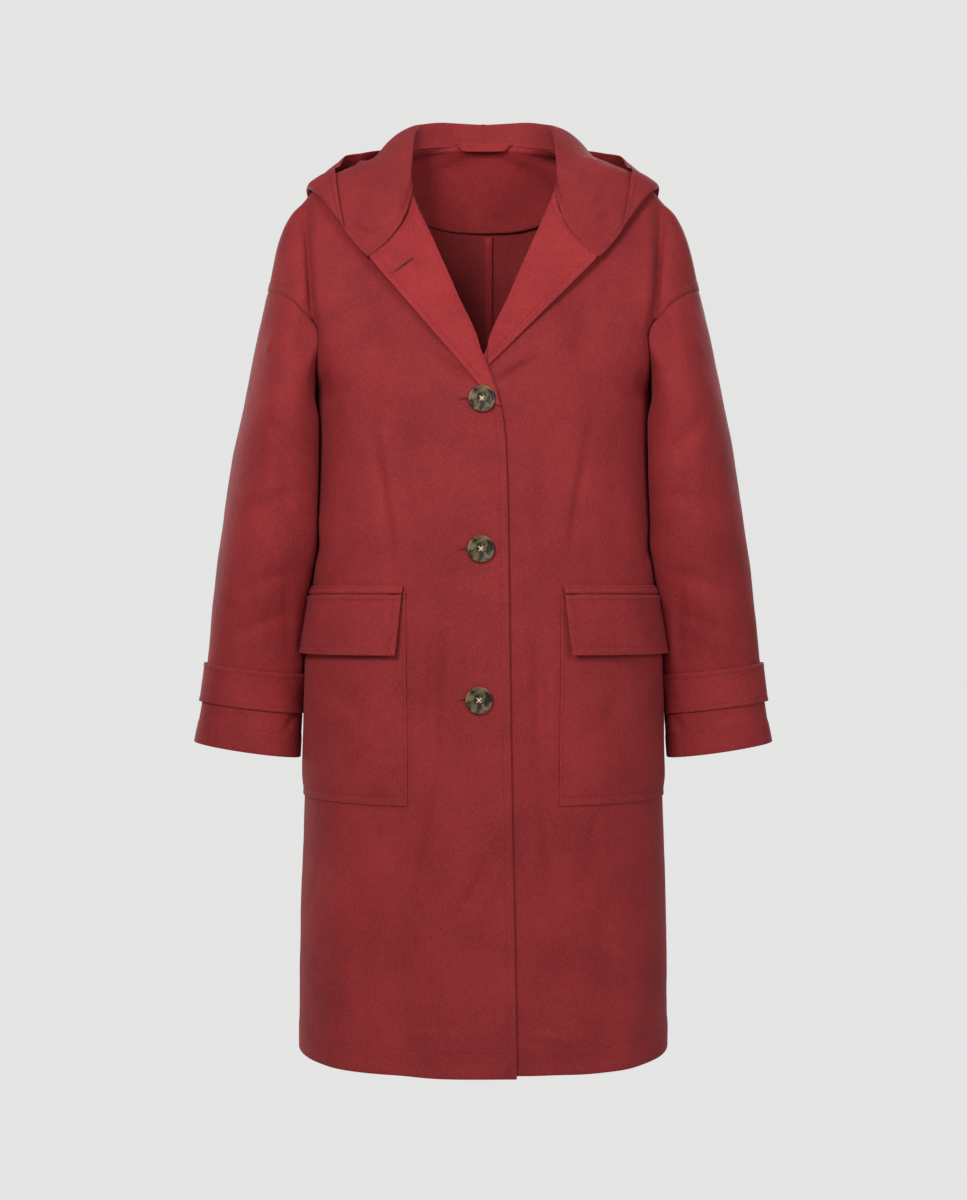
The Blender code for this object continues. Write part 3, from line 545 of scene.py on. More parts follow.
# Distances of seams and stitch lines from a cloth's edge, in millimetres
EDGE_STITCH = 8.0
HEM_STITCH = 27.0
CUFF_STITCH = 24.0
ARM_STITCH = 9.5
NEAR_STITCH = 1.8
STITCH = {"long": 2.5, "gap": 1.1, "radius": 0.34}

SOFT = 0.8 * MM  # how gently a piece is pushed clear of another
TOO_FAR = 0.045  # metres past which it is left alone
SLEEVE_CLEAR = 2.6  # least distance of the middle of a sleeve's cloth from the middle of the body's
FACING_IN = 3.2  # the facing lies this far inside the back
ALLOWANCE = 10.0  # width of the bound centre back seam allowance, in millimetres

COLOURS = {
    "cotton_deep": (0.195, 0.0150, 0.0180),
    "cotton_pale": (0.330, 0.0290, 0.0310),
    "facing_deep": (0.250, 0.0180, 0.0220),
    "facing_pale": (0.400, 0.0330, 0.0355),
    "wear": (0.33, 0.038, 0.038),
    "thread": (0.135, 0.0095, 0.0125),
    # painted shade: near-black colour of the tube laid along each buttonhole's cut, standing in for the shadow in the
    # opening
    "slit": (0.060, 0.004, 0.006),
    "horn_pale": (0.24, 0.175, 0.078),
    "horn_mid": (0.12, 0.085, 0.034),
    "horn_dark": (0.014, 0.010, 0.006),
    "cream": (0.72, 0.60, 0.38),
    "floor": (0.80, 0.80, 0.79),
}
HOLE_PITCH = 0.62  # from stitch to stitch round a buttonhole, in millimetres
PIECES = {}


def seen_at(points):
    """Where points are seen in the picture, across and down, in pixels."""
    scale = PIXEL * (points[..., 1] - CAMERA_AT[1]) / -CAMERA_AT[1]
    return PICTURE[0] / 2 + points[..., 0] / scale, PICTURE[1] / 2 - (points[..., 2] - CAMERA_AT[2]) / scale


def wander(points, size, seed=0.0):
    """Smooth noise from -1 to 1 whose waves are about this long."""
    flat = points.reshape(-1, 3) / size + seed
    return np.array([noise.noise(Vector(point)) for point in flat]).reshape(points.shape[:-1])


def creases(table, across, down):
    """Depth of a table's folds, in metres."""
    depth = np.zeros(np.shape(across))
    for start_x, start_y, end_x, end_y, width, deep, bow in table:
        run_x, run_y = end_x - start_x, end_y - start_y
        length = math.hypot(run_x, run_y)
        along = ((across - start_x) * run_x + (down - start_y) * run_y) / length**2
        off = ((down - start_y) * run_x - (across - start_x) * run_y) / length
        middle = np.clip(along, 0, 1)
        off = off - bow * 4 * middle * (1 - middle)
        fade = ease(-0.1, 0.35, along) * (1 - ease(0.55, 1.1, along))
        depth += deep * fade * np.exp(-((off / width) ** 2))
    return depth * MM


def slack(points):
    """The small unevenness of all the cloth, the same wherever two pieces meet."""
    return (1.5 * wander(points, 0.12) + 0.6 * wander(points, 0.042, 7.3) + 0.16 * wander(points, 0.017, 3.1)) * MM


def blend_rows(count, places):
    """Weights that draw a smooth curve through a row of points (a cubic B-spline) at these places."""
    weights = np.zeros((len(places), count))
    for k, place in enumerate(np.asarray(places) * (count - 1)):
        row = min(int(place), count - 2)
        t = place - row
        shares = ((1 - t) ** 3, 3 * t**3 - 6 * t**2 + 4, -3 * t**3 + 3 * t**2 + 3 * t + 1, t**3)
        for column, share in zip(range(row - 1, row + 3), shares):
            if column < 0:
                weights[k, :2] += np.array([2, -1]) * share / 6
            elif column >= count:
                weights[k, -2:] += np.array([-1, 2]) * share / 6
            else:
                weights[k, column] += share / 6
    return weights


def spread(count, crowd):
    """Places from 0 to 1, closer together near both ends."""
    even = np.linspace(0, 1, count + 1)
    return even - crowd * np.sin(2 * math.pi * even) / (2 * math.pi)


def facing(points, flip):
    """Normals of a grid of points. flip is 1 or -1."""
    normal = np.cross(np.gradient(points, axis=1), np.gradient(points, axis=0)) * flip
    return normal / np.maximum(np.linalg.norm(normal, axis=2, keepdims=True), 1e-12)


def edges_of(points):
    """How far each point of a grid lies from its four edges, over the cloth, in millimetres."""
    across = np.linalg.norm(np.diff(points, axis=1), axis=2) / MM
    along = np.linalg.norm(np.diff(points, axis=0), axis=2) / MM
    left = np.concatenate([np.zeros((len(points), 1)), np.cumsum(across, axis=1)], axis=1)
    low = np.concatenate([np.zeros((1, points.shape[1])), np.cumsum(along, axis=0)])
    return {"left": left, "right": left[:, -1:] - left, "low": low, "top": low[-1:] - low}


def band(far, width):
    """1 inside a doubled edge of this width, 0 beyond it."""
    return 1 - ease(width - 0.6, width + 1.8, far)


def sewn(points, far, at, pucker=0.22):
    """Relief beside a seam: the cloth dips into it and puckers up to its stitching."""
    dip = -0.75 * np.exp(-((far / 1.8) ** 2))
    ripple = pucker * wander(points, 0.011, 5.7) * np.exp(-(((far - at * 0.6) / (at * 0.9 + 3)) ** 2))
    return (dip + ripple) * MM


def stitched(far, at):
    """The groove that a line of stitches pulls into the cloth."""
    return -0.5 * np.exp(-(((far - at) / 1.5) ** 2)) * MM


def cloth_material(name, deep, pale):
    """Plain woven cotton: yarns, slubs, a soft fade and paler edges."""
    made = bpy.data.materials.new(name)
    made.use_nodes = True
    nodes, links = made.node_tree.nodes, made.node_tree.links
    shader = nodes["Principled BSDF"]
    shader.inputs["Roughness"].default_value = 0.78
    shader.inputs["Sheen Weight"].default_value = 0.08
    shader.inputs["Sheen Roughness"].default_value = 0.45
    shader.inputs["Sheen Tint"].default_value = (1.0, 0.45, 0.45, 1)
    shader.inputs["Specular IOR Level"].default_value = 0.2

    def node(kind, **values):
        new = nodes.new(kind)
        for key, value in values.items():
            if key.startswith("_"):
                setattr(new, key[1:], value)
            else:
                new.inputs[key.replace("__", " ")].default_value = value
        return new

    place = node("ShaderNodeTexCoord")
    fade = node("ShaderNodeTexNoise", Scale=13.0, Detail=7.0, Roughness=0.66, Distortion=0.25)
    links.new(place.outputs["Object"], fade.inputs["Vector"])
    grain = node("ShaderNodeTexNoise", Scale=430.0, Detail=3.0, Roughness=0.75)
    links.new(place.outputs["Object"], grain.inputs["Vector"])
    stretch = node("ShaderNodeMapping", Scale=(260.0, 2600.0, 1.0))
    links.new(place.outputs["UV"], stretch.inputs["Vector"])
    slub = node("ShaderNodeTexNoise", Scale=1.0, Detail=2.0)
    links.new(stretch.outputs["Vector"], slub.inputs["Vector"])
    weft = node("ShaderNodeTexWave", _wave_type="BANDS", _bands_direction="X", Scale=520.0, Distortion=0.4)
    warp = node("ShaderNodeTexWave", _wave_type="BANDS", _bands_direction="Y", Scale=520.0, Distortion=0.4)
    for yarn in (weft, warp):
        links.new(place.outputs["UV"], yarn.inputs["Vector"])
    weave = node("ShaderNodeMath", _operation="MULTIPLY")
    links.new(weft.outputs["Fac"], weave.inputs[0])
    links.new(warp.outputs["Fac"], weave.inputs[1])

    share = node("ShaderNodeMath", _operation="MULTIPLY_ADD")
    share.inputs[1].default_value = 0.9
    links.new(grain.outputs["Fac"], share.inputs[0])
    links.new(slub.outputs["Fac"], share.inputs[2])
    both = node("ShaderNodeMath", _operation="MULTIPLY_ADD")
    both.inputs[1].default_value = 0.95
    links.new(fade.outputs["Fac"], both.inputs[0])
    links.new(share.outputs["Value"], both.inputs[2])
    level_of = node("ShaderNodeMapRange")
    level_of.inputs["From Min"].default_value = 1.14
    level_of.inputs["From Max"].default_value = 1.70
    links.new(both.outputs["Value"], level_of.inputs["Value"])
    tone = node("ShaderNodeMix", _data_type="RGBA")
    for socket in tone.inputs:
        if socket.type == "RGBA":
            socket.default_value = (*COLOURS[deep if socket.name == "A" else pale], 1)
    links.new(level_of.outputs["Result"], tone.inputs["Factor"])
    worn = node("ShaderNodeAttribute", _attribute_name="wear")
    edge = node("ShaderNodeMix", _data_type="RGBA")
    for socket in edge.inputs:
        if socket.type == "RGBA" and socket.name == "B":
            socket.default_value = (*COLOURS["wear"], 1)
    links.new(worn.outputs["Fac"], edge.inputs["Factor"])
    links.new(tone.outputs[2], edge.inputs[6])
    links.new(edge.outputs[2], shader.inputs["Base Color"])

    bump = node("ShaderNodeBump", Strength=0.35, Distance=0.00012)
    links.new(weave.outputs["Value"], bump.inputs["Height"])
    soft = node("ShaderNodeBump", Strength=0.6, Distance=0.0016)
    crumple = node("ShaderNodeTexNoise", Scale=48.0, Detail=7.0, Roughness=0.62, Distortion=0.4)
    links.new(place.outputs["Object"], crumple.inputs["Vector"])
    pulled = node("ShaderNodeTexNoise", Scale=150.0, Detail=2.0, Roughness=0.5)
    links.new(place.outputs["Object"], pulled.inputs["Vector"])
    by_seam = node("ShaderNodeAttribute", _attribute_name="pucker")
    height = node("ShaderNodeMath", _operation="MULTIPLY_ADD")
    links.new(by_seam.outputs["Fac"], height.inputs[0])
    links.new(pulled.outputs["Fac"], height.inputs[1])
    links.new(crumple.outputs["Fac"], height.inputs[2])
    links.new(height.outputs["Value"], soft.inputs["Height"])
    links.new(bump.outputs["Normal"], soft.inputs["Normal"])
    links.new(soft.outputs["Normal"], shader.inputs["Normal"])
    return made


def plain_material(name, colour, rough, glow=0.0):
    made = bpy.data.materials.new(name)
    made.use_nodes = True
    shader = made.node_tree.nodes["Principled BSDF"]
    shader.inputs["Base Color"].default_value = (*COLOURS[colour], 1)
    shader.inputs["Roughness"].default_value = rough
    shader.inputs["Emission Color"].default_value = (*COLOURS[colour], 1)
    shader.inputs["Emission Strength"].default_value = glow
    return made


def place_mesh(name, points, faces, kind, smooth=True):
    """A new object of the coat, riding on its only body."""
    mesh = bpy.data.meshes.new(name)
    mesh.from_pydata(np.asarray(points).tolist(), [], faces)
    if smooth:
        mesh.polygons.foreach_set("use_smooth", [True] * len(mesh.polygons))
    mesh.materials.append(MATERIALS[kind])
    obj = bpy.data.objects.new(name, mesh)
    bpy.context.scene.collection.objects.link(obj)
    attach(obj, "root")
    return obj


def cloth(
    node, shape, size, flip, relief, kind="cotton", thick=CLOTH, held="hung", rests_on=(), crowd=0.45,
    worn=0.12, rough=0.5, hem=0.0,
):
    """A piece of cloth with a thickness and rounded edges, in place of a CAD node."""
    columns, lines = (max(8, int(count * DETAIL)) for count in size)
    rough_s, rough_t = max(7, int(columns * rough)), max(7, int(lines * rough))
    s, t = np.meshgrid(np.linspace(0, 1, rough_s + 1), np.linspace(0, 1, rough_t + 1))
    points = shape(s.ravel(), t.ravel()).reshape(*s.shape, 3)
    by_line = blend_rows(rough_t + 1, spread(lines, crowd))
    by_column = blend_rows(rough_s + 1, spread(columns, crowd))
    points = np.einsum("lj,jik,ci->lck", by_line, points, by_column)
    out = facing(points, flip)
    far = edges_of(points)
    points = points + out * (relief(points, far) + slack(points))[..., None]
    out = facing(points, flip)
    PIECES[node] = {"points": points, "out": out, "far": edges_of(points)}

    index = np.arange(points.shape[0] * points.shape[1]).reshape(points.shape[:2])
    loop = np.concatenate([index[0, :-1], index[:-1, -1], index[-1, :0:-1], index[:0:-1, 0]])
    inside = np.concatenate([index[1, :-1], index[:-1, -2], index[-2, :0:-1], index[:0:-1, 1]])
    flat, normal = points.reshape(-1, 3), out.reshape(-1, 3)
    away = flat[loop] - flat[inside]
    away /= np.maximum(np.linalg.norm(away, axis=1, keepdims=True), 1e-9)
    half = thick / 2
    verts = np.concatenate([flat + normal * half, flat - normal * half, flat[loop] + away * half * 0.9])
    count = len(flat)
    quads = np.stack([index[:-1, :-1], index[:-1, 1:], index[1:, 1:], index[1:, :-1]], axis=-1).reshape(-1, 4)
    ahead = np.roll(loop, -1)
    rim = 2 * count + np.arange(len(loop))
    rim_ahead = np.roll(rim, -1)
    faces = np.concatenate([
        quads,
        quads[:, ::-1] + count,
        np.stack([ahead, loop, rim, rim_ahead], axis=1),
        np.stack([rim_ahead, rim, loop + count, ahead + count], axis=1),
    ])
    if flip < 0:
        faces = faces[:, ::-1]
    obj = place_mesh(node + "_cloth", verts, faces.tolist(), kind)
    near = np.min([far[name] for name in ("left", "right", "low", "top")], axis=0).ravel()
    wear = worn * np.exp(-((near / 1.6) ** 2))
    pull = np.exp(-(((near - 4.5) / 6) ** 2))
    if hem:
        pull = np.maximum(pull, np.exp(-(((far["low"].ravel() - hem) / 8) ** 2)))
    where = np.stack([far["left"].ravel(), far["low"].ravel()], axis=1) * MM
    order = np.concatenate([np.arange(count), np.arange(count), loop])
    attribute = obj.data.attributes.new("wear", "FLOAT", "POINT")
    attribute.data.foreach_set("value", np.concatenate([wear, wear, wear[loop]]).astype(np.float32))
    attribute = obj.data.attributes.new("pucker", "FLOAT", "POINT")
    attribute.data.foreach_set("value", np.concatenate([pull, pull, pull[loop]]).astype(np.float32))
    corners = np.empty(len(obj.data.loops), np.int32)
    obj.data.loops.foreach_get("vertex_index", corners)
    layer = obj.data.uv_layers.new(name="cut")
    layer.data.foreach_set("uv", where[order][corners].astype(np.float32).ravel())
    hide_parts(node)
    return obj


def inset(node, edge, at, start=0.0, end=1.0, lift=CLOTH / 2):
    """The line on a piece that lies this many millimetres inside one edge, with its normals."""
    piece = PIECES[node]
    far = piece["far"][edge]
    points, out = piece["points"], piece["out"]
    if edge in ("low", "top"):
        far, points, out = far.T, points.swapaxes(0, 1), out.swapaxes(0, 1)
    if edge in ("right", "top"):
        far, points, out = far[:, ::-1], points[:, ::-1], out[:, ::-1]
    rows = range(int(start * (len(far) - 1)), int(end * (len(far) - 1)) + 1)
    line = np.array([[np.interp(at, far[j], part[j, :, k]) for part in (points, out) for k in range(3)] for j in rows])
    return line[:, :3] + line[:, 3:] * lift, line[:, 3:]


def on_front(node, x, z, lift=CLOTH / 2):
    """Points and normals of a piece where it is seen from the front at x and z, in metres."""
    points, out = PIECES[node]["points"].reshape(-1, 3), PIECES[node]["out"].reshape(-1, 3)
    shown = out[:, 1] < -0.05
    points, out = points[shown], out[shown]
    x, z = np.atleast_1d(x), np.atleast_1d(z)
    near = [np.argmin((points[:, 0] - a) ** 2 + (points[:, 2] - b) ** 2) for a, b in zip(x, z)]
    normal = out[near]
    right, up = x - points[near, 0], z - points[near, 2]
    y = points[near, 1] - (normal[:, 0] * right + normal[:, 2] * up) / normal[:, 1]
    return np.stack([x, y, z], axis=1) + normal * lift, normal


def tube_run(points, out, long, gap, radius, sides=5, rings=3):
    """Vertices and faces of the stitches along a line."""
    step = np.linalg.norm(np.diff(points, axis=0), axis=1)
    far = np.concatenate([[0], np.cumsum(step)])
    count = max(1, int(far[-1] / (long + gap) + 0.5))
    pitch = far[-1] / count
    share = np.linspace(0, 1, rings)
    at = np.arange(count)[:, None] * pitch + gap / 2 + (pitch - gap) * share[None, :]
    centre = np.stack([np.interp(at, far, points[:, k]) for k in range(3)], axis=-1)
    normal = np.stack([np.interp(at, far, out[:, k]) for k in range(3)], axis=-1)
    ahead = centre[:, -1:] - centre[:, :1]
    ahead = ahead / np.maximum(np.linalg.norm(ahead, axis=2, keepdims=True), 1e-9) * np.ones((1, rings, 1))
    side = np.cross(ahead, normal)
    lift = radius * (1.1 * np.sin(math.pi * share) - 0.55)
    thick = radius * (0.55 + 0.45 * np.sin(math.pi * share))
    centre = centre + normal * lift[None, :, None]
    turn = np.arange(sides) * 2 * math.pi / sides
    verts = centre[:, :, None] + thick[None, :, None, None] * (
        np.cos(turn)[None, None, :, None] * side[:, :, None] + np.sin(turn)[None, None, :, None] * normal[:, :, None]
    )
    index = np.arange(count * rings * sides).reshape(count, rings, sides)
    after = np.roll(index, -1, axis=2)
    quads = np.stack([index[:, :-1], after[:, :-1], after[:, 1:], index[:, 1:]], axis=-1).reshape(-1, 4)
    caps = [row[::-1] for row in index[:, 0].tolist()] + index[:, -1].tolist()
    return verts.reshape(-1, 3), quads.tolist() + caps


def threads(name, runs, kind="thread", slot="cotton", **size):
    """One object that holds the stitches along these lines."""
    size = {**STITCH, **size}
    verts, faces, count = [], [], 0
    for points, out in runs:
        new, more = tube_run(points, out, size["long"] * MM, size["gap"] * MM, size["radius"] * MM)
        faces += [[k + count for k in face] for face in more]
        verts.append(new)
        count += len(new)
    return place_mesh(name, np.concatenate(verts), faces, kind)


def nearest(points, normals_of):
    """A search for the nearest of these points, which gives it and its normal."""
    tree = kdtree.KDTree(len(points))
    for number, point in enumerate(points):
        tree.insert(point, number)
    tree.balance()

    def search(places):
        near = [tree.find(place)[1] for place in places]
        return points[near], normals_of[near]

    return search


def stand_off(points, search, least):
    """Moves points out until they stand this far off the nearest surface, softly."""
    surface, normal = search(points)
    off = ((points - surface) * normal).sum(axis=1)
    push = SOFT * np.logaddexp(0, (least - off) / SOFT) * (1 - ease(0.0, TOO_FAR, off))
    return points + normal * push[:, None]


def made_so_far(*nodes):
    """Points and normals of pieces that are already made."""
    return [np.concatenate([PIECES[node][part].reshape(-1, 3) for node in nodes]) for part in ("points", "out")]


def body_sheet(which, side):
    """A front or a back, with its hem, seams and folds."""
    sewn_edges = ("right", "top") if which == "front" else ("right", "top", "left")

    def shape(s, t):
        row = level(which, t)
        start = edge_turn(side, row) if which == "front" else np.zeros_like(s)
        return mirrored(body(which, side, start + (HALF_PI - start) * s, row), side)

    def relief(points, far):
        move = 0.45 * MM * band(far["low"], HEM_STITCH) + stitched(far["low"], HEM_STITCH)
        move = move + 0.25 * MM * wander(points, 0.02, 2.2) * np.exp(-(((far["low"] - 14) / 16) ** 2))
        above = ease(-0.275, -0.255, points[..., 2])
        move = move + above * (0.5 * MM * band(far["right"], ARM_STITCH) + stitched(far["right"], ARM_STITCH))
        for edge in sewn_edges:
            move = move + sewn(points, far[edge], ARM_STITCH if edge == "right" else 4)
        if which == "front":
            below = 1 - ease(-0.27, -0.25, points[..., 2])
            move = move + below * (stitched(far["left"], EDGE_STITCH) + 0.15 * MM * band(far["left"], EDGE_STITCH))
            move = move + 0.2 * MM * wander(points, 0.013, 4.4) * np.exp(-(((far["left"] - 4) / 8) ** 2))
            return move - creases(FRONT_FOLDS, *seen_at(points))
        return move - creases(BACK_FOLDS, points[..., 0] / MM, points[..., 2] / MM)

    size = (100, 250) if which == "front" else (60, 190)
    hangs = () if which == "back" else ("back_" + SIDE[side] + "_cloth",)
    flip = side if which == "front" else -side
    return cloth(which + "_" + SIDE[side], shape, size, flip, relief, rests_on=hangs, hem=HEM_STITCH)


def sleeve_sheet(side, part):
    low, high = (0, 180) if part == "front" else (-180, 0)
    search = nearest(*made_so_far(*(name + SIDE[side] for name in ("front_", "back_", "pocket_", "pocket_flap_"))))

    def shape(s, t):
        station = (1 - t) * (len(SLEEVE) - 1)
        points = mirrored(sleeve(side, low + (high - low) * s, station), side)
        clear = stand_off(points, search, SLEEVE_CLEAR * MM)
        return points + (clear - points) * ease(0.5, 1.4, station)[:, None]

    def relief(points, far):
        move = 0.45 * MM * band(far["low"], CUFF_STITCH) + stitched(far["low"], CUFF_STITCH)
        for edge in ("left", "right"):
            move = move + sewn(points, far[edge], 5)
        move = move + sewn(points, far["top"], 6)
        over = "left" if part == "front" else "right"
        move = move + stitched(far[over], 5.5) + 0.25 * MM * band(far[over], 5.5)
        if part == "front":
            return move - creases(SLEEVE_FOLDS, *seen_at(points))
        mirror_y = points * np.array([1, -1, 1])
        return move - 0.7 * creases(SLEEVE_FOLDS, *seen_at(mirror_y))

    name = "sleeve_" + part + "_" + SIDE[side]
    hangs = ("front_" + SIDE[side] + "_cloth", "back_" + SIDE[side] + "_cloth")
    return cloth(name, shape, (56, 150), -side, relief, rests_on=hangs, hem=CUFF_STITCH)


def lapel_sheet(side):
    def shape(s, t):
        start = 0.0 if side < 0 else 0.03
        s_up = start + (1 - start) * t
        roll, outer = lapel_outline(side, s_up)
        seen = roll + (outer - roll) * s[:, None]
        wide = np.linalg.norm(outer - roll, axis=1) / (70 * MM)
        stand = LAPEL_STAND * MM * ease(0.1, 1, s) * np.clip(wide, 0, 1) * ease(0.05, 0.5, s_up)
        out = 0.4 * MM + ease(0, 0.12, s) * 1.9 * MM + stand
        return mirrored(at_front(side, seen[:, 0], seen[:, 1], out), side)

    def relief(points, far):
        move = stitched(far["right"], EDGE_STITCH) + 0.3 * MM * band(far["right"], EDGE_STITCH)
        ripple = 0.2 * MM * wander(points, 0.012, 1.7) * np.exp(-(((far["right"] - 4) / 7) ** 2))
        return move + ripple - creases(FRONT_FOLDS, *seen_at(points))

    return cloth(
        "lapel_" + SIDE[side], shape, (50, 110), side, relief, "facing", held="folded", rough=0.34,
        rests_on=("front_" + SIDE[side] + "_cloth",),
    )


def hood_sheet(side):
    clouds = [cloud(which, side) for which in ("front", "back")]
    search = nearest(*(np.concatenate(part) for part in zip(*clouds)))

    def shape(s, t):
        place = np.interp(s, np.linspace(0, 1, len(HOOD_PLACES)), HOOD_PLACES)
        points = hood(place, t)
        doubled = ease(0.6, 0.72, place) * ease(0.02, 0.13, t)
        least = (3.9 + 2.4 * ease(0.1, 0.3, t) + 4.6 * doubled) * MM
        least = 2.2 * MM + (least - 2.2 * MM) * np.maximum(ease(0.05, 0.3, place), 1 - ease(0.2, 0.45, t))
        points = stand_off(points, search, least)
        tuck = (1 - ease(0, 0.1, place)) * ease(0.45, 0.6, t)
        inward = points[:, :2] / np.linalg.norm(points[:, :2], axis=1, keepdims=True)
        points[:, :2] -= inward * 1.4 * MM * tuck[:, None]
        points[:, 2] -= 1.6 * MM * tuck
        return mirrored(points, side)

    def relief(points, far):
        move = stitched(far["right"], 7.0) + 0.4 * MM * band(far["right"], 7.0)
        move = move + sewn(points, far["top"], 5) + sewn(points, far["left"], 4)
        move = move + 0.25 * MM * wander(points, 0.03, 9.1)
        return move - creases(HOOD_FOLDS, *seen_at(points))

    return cloth(
        "hood_" + SIDE[side], shape, (104, 130), -side, relief, held="folded", rough=0.34,
        rests_on=("back_" + SIDE[side] + "_cloth", "front_" + SIDE[side] + "_cloth"),
    )


def pocket_sheet(side):
    pocket = {name: value * MM for name, value in POCKET.items() if name != "outer_angle"}
    far_turn = math.radians(POCKET["outer_angle"])

    def shape(s, t):
        z = pocket["bottom"] + (pocket["top"] - pocket["bottom"]) * t
        row = np.interp(z / MM, [section[0] for section in SKIRT], np.arange(len(SKIRT)))
        across = spline(np.arange(len(ROWS["front"])), ROWS["front"], row)[:, 6]
        near = np.arcsin(pocket["inner"] / across)
        edge = np.minimum(np.minimum(s, 1 - s) * 9, t * 9)
        out = CLOTH + (0.15 + 2.3 * ease(0, 1, edge)) * MM
        return mirrored(body("front", side, near + (far_turn - near) * s, row, out), side)

    def relief(points, far):
        move = stitched(far["left"], 2.6) + stitched(far["right"], 2.6) + stitched(far["low"], 8.5)
        rim = np.minimum(np.minimum(far["left"], far["right"]), far["low"])
        move = move + 0.3 * MM * band(rim, 3.0) + 0.3 * MM * wander(points, 0.014, 6.1) * np.exp(-((rim / 9) ** 2))
        return move - creases(FRONT_FOLDS, *seen_at(points))

    hangs = ("front_" + SIDE[side] + "_cloth",)
    return cloth("pocket_" + SIDE[side], shape, (72, 104), side, relief, rests_on=hangs)


def flap_sheet(side):
    def shape(s, t):
        down = 1 - t
        z = FLAP["top"] + (FLAP["low"] - FLAP["top"]) * down
        row = np.interp(z, [section[0] for section in SKIRT], np.arange(len(SKIRT)))
        across = spline(np.arange(len(ROWS["front"])), ROWS["front"], row)[:, 6]
        strip = FLAP["strip"] / (FLAP["top"] - FLAP["low"])
        inner = (FLAP["inner_top"] + (FLAP["inner_low"] - FLAP["inner_top"]) * down) * MM
        near = np.arcsin(inner / across)
        far_turn = np.radians(FLAP_ANGLE[0] + (FLAP_ANGLE[1] - FLAP_ANGLE[0]) * down)
        stand = FLAP_STAND[0] + (FLAP_STAND[1] - FLAP_STAND[0]) * s**2
        lift = np.clip((down - strip) / (1 - strip), 0, 1) ** 1.2
        out = CLOTH + (0.9 + 2.6 * ease(0.0, 0.1, down) + stand * lift) * MM
        return mirrored(body("front", side, near + (far_turn - near) * s, row, out), side)

    def relief(points, far):
        rim = np.minimum(np.minimum(far["left"], far["right"]), far["low"])
        move = stitched(rim, 7.5) + 0.35 * MM * band(rim, 7.5)
        down = far["top"] - FLAP["strip"]
        hinge = 1.1 * np.exp(-(((down - 3.2) / 2.2) ** 2)) - 2.2 * np.exp(-((down / 1.1) ** 2))
        move = move + (hinge + 0.8 * ease(-0.5, 1.5, down)) * MM
        return move + 0.25 * MM * wander(points, 0.02, 8.8) - creases(FRONT_FOLDS, *seen_at(points))

    hangs = ("front_" + SIDE[side] + "_cloth",)
    return cloth("pocket_flap_" + SIDE[side], shape, (54, 96), side, relief, rests_on=hangs, crowd=0.3)


def strap_sheet(side):
    def shape(s, t):
        degrees = -STRAP["overlap"] + (360 + STRAP["overlap"]) * s
        stretch = STRAP["from"] + (STRAP["to"] - STRAP["from"]) * (1 - t)
        over = 1 - ease(-10, 40, degrees)
        out = 1.9 * MM + (TRIM + 1.3 * MM) * over
        return mirrored(sleeve(side, degrees, stretch, out), side)

    def relief(points, far):
        rim = np.minimum(far["low"], far["top"])
        move = stitched(rim, 5.0) + 0.3 * MM * band(rim, 5.0)
        return move + 0.35 * MM * wander(points, 0.025, 3.3)

    name = "cuff_strap_" + SIDE[side]
    hangs = ("sleeve_front_" + SIDE[side] + "_cloth", "sleeve_back_" + SIDE[side] + "_cloth")
    return cloth(name, shape, (150, 24), -side, relief, rests_on=hangs, crowd=0.0)


def facing_sheet():
    corner, top = YOKE + 4, TOP["back"]
    lower = np.array(FACING, float)

    def shape(s, t):
        side = np.where(s < 0.5, -1, 1)
        c = np.abs(2 * s - 1)
        edge = spline(lower[:, 0], lower[:, 1:], c)
        turn = (1 - t) * np.radians(edge[:, 0])
        row = t * (corner + (top - corner) * c) + (1 - t) * (YOKE + edge[:, 1])
        row = np.minimum(row, top - 0.02)
        inside = -FACING_IN * MM * (1 - 0.75 * ease(0.9, 1, t))
        right = body("back", -1, turn, row, inside)
        left = body("back", 1, turn, row, inside)
        points = np.where((side < 0)[:, None], right, left)
        points[:, 0] = np.maximum(points[:, 0], 0.0) * side
        points[:, 2] += 2.4 * MM * ease(0.92, 1, t) * (1 - ease(0.7, 0.95, c))
        return points

    def relief(points, far):
        return stitched(far["low"], 5.5) + 0.3 * MM * band(far["low"], 5.5) + 0.3 * MM * wander(points, 0.03, 4.2)

    return cloth(
        "back_neck_facing", shape, (96, 36), 1, relief, "facing", rests_on=("back_right_cloth", "back_left_cloth"),
        rough=0.25,
    )


def seam_allowance():
    """The bound edge of the centre back seam, which shows inside the coat below the facing."""
    t = np.linspace(0, 1, 160)
    row = level("back", t) * (FACING[0][2] + YOKE - 0.05) / TOP["back"]
    middle = body("back", 1, np.zeros_like(row), row, -1.6 * MM)
    edge = middle + np.array([ALLOWANCE * MM, 0, 0])
    edge[:, 1] = body("back", 1, np.full_like(row, ALLOWANCE / 180), row, -2.0 * MM)[:, 1]
    verts, faces = [], []
    for across, deep in ((0.0, 0.0), (0.0, -0.9), (0.55, -1.3), (0.9, -1.5), (1.0, -0.9), (1.0, 0.0)):
        line = middle + (edge - middle) * across + np.array([0.0004, deep * MM, 0])
        verts.append(line)
    count, sides = len(t), len(verts)
    for k in range(sides):
        n = (k + 1) % sides
        faces += [(k * count + j, k * count + j + 1, n * count + j + 1, n * count + j) for j in range(count - 1)]
    faces += [tuple(k * count for k in range(sides)), tuple(k * count + count - 1 for k in reversed(range(sides)))]
    strip = place_mesh("seam_allowance", np.concatenate(verts), faces, "facing")
    return strip


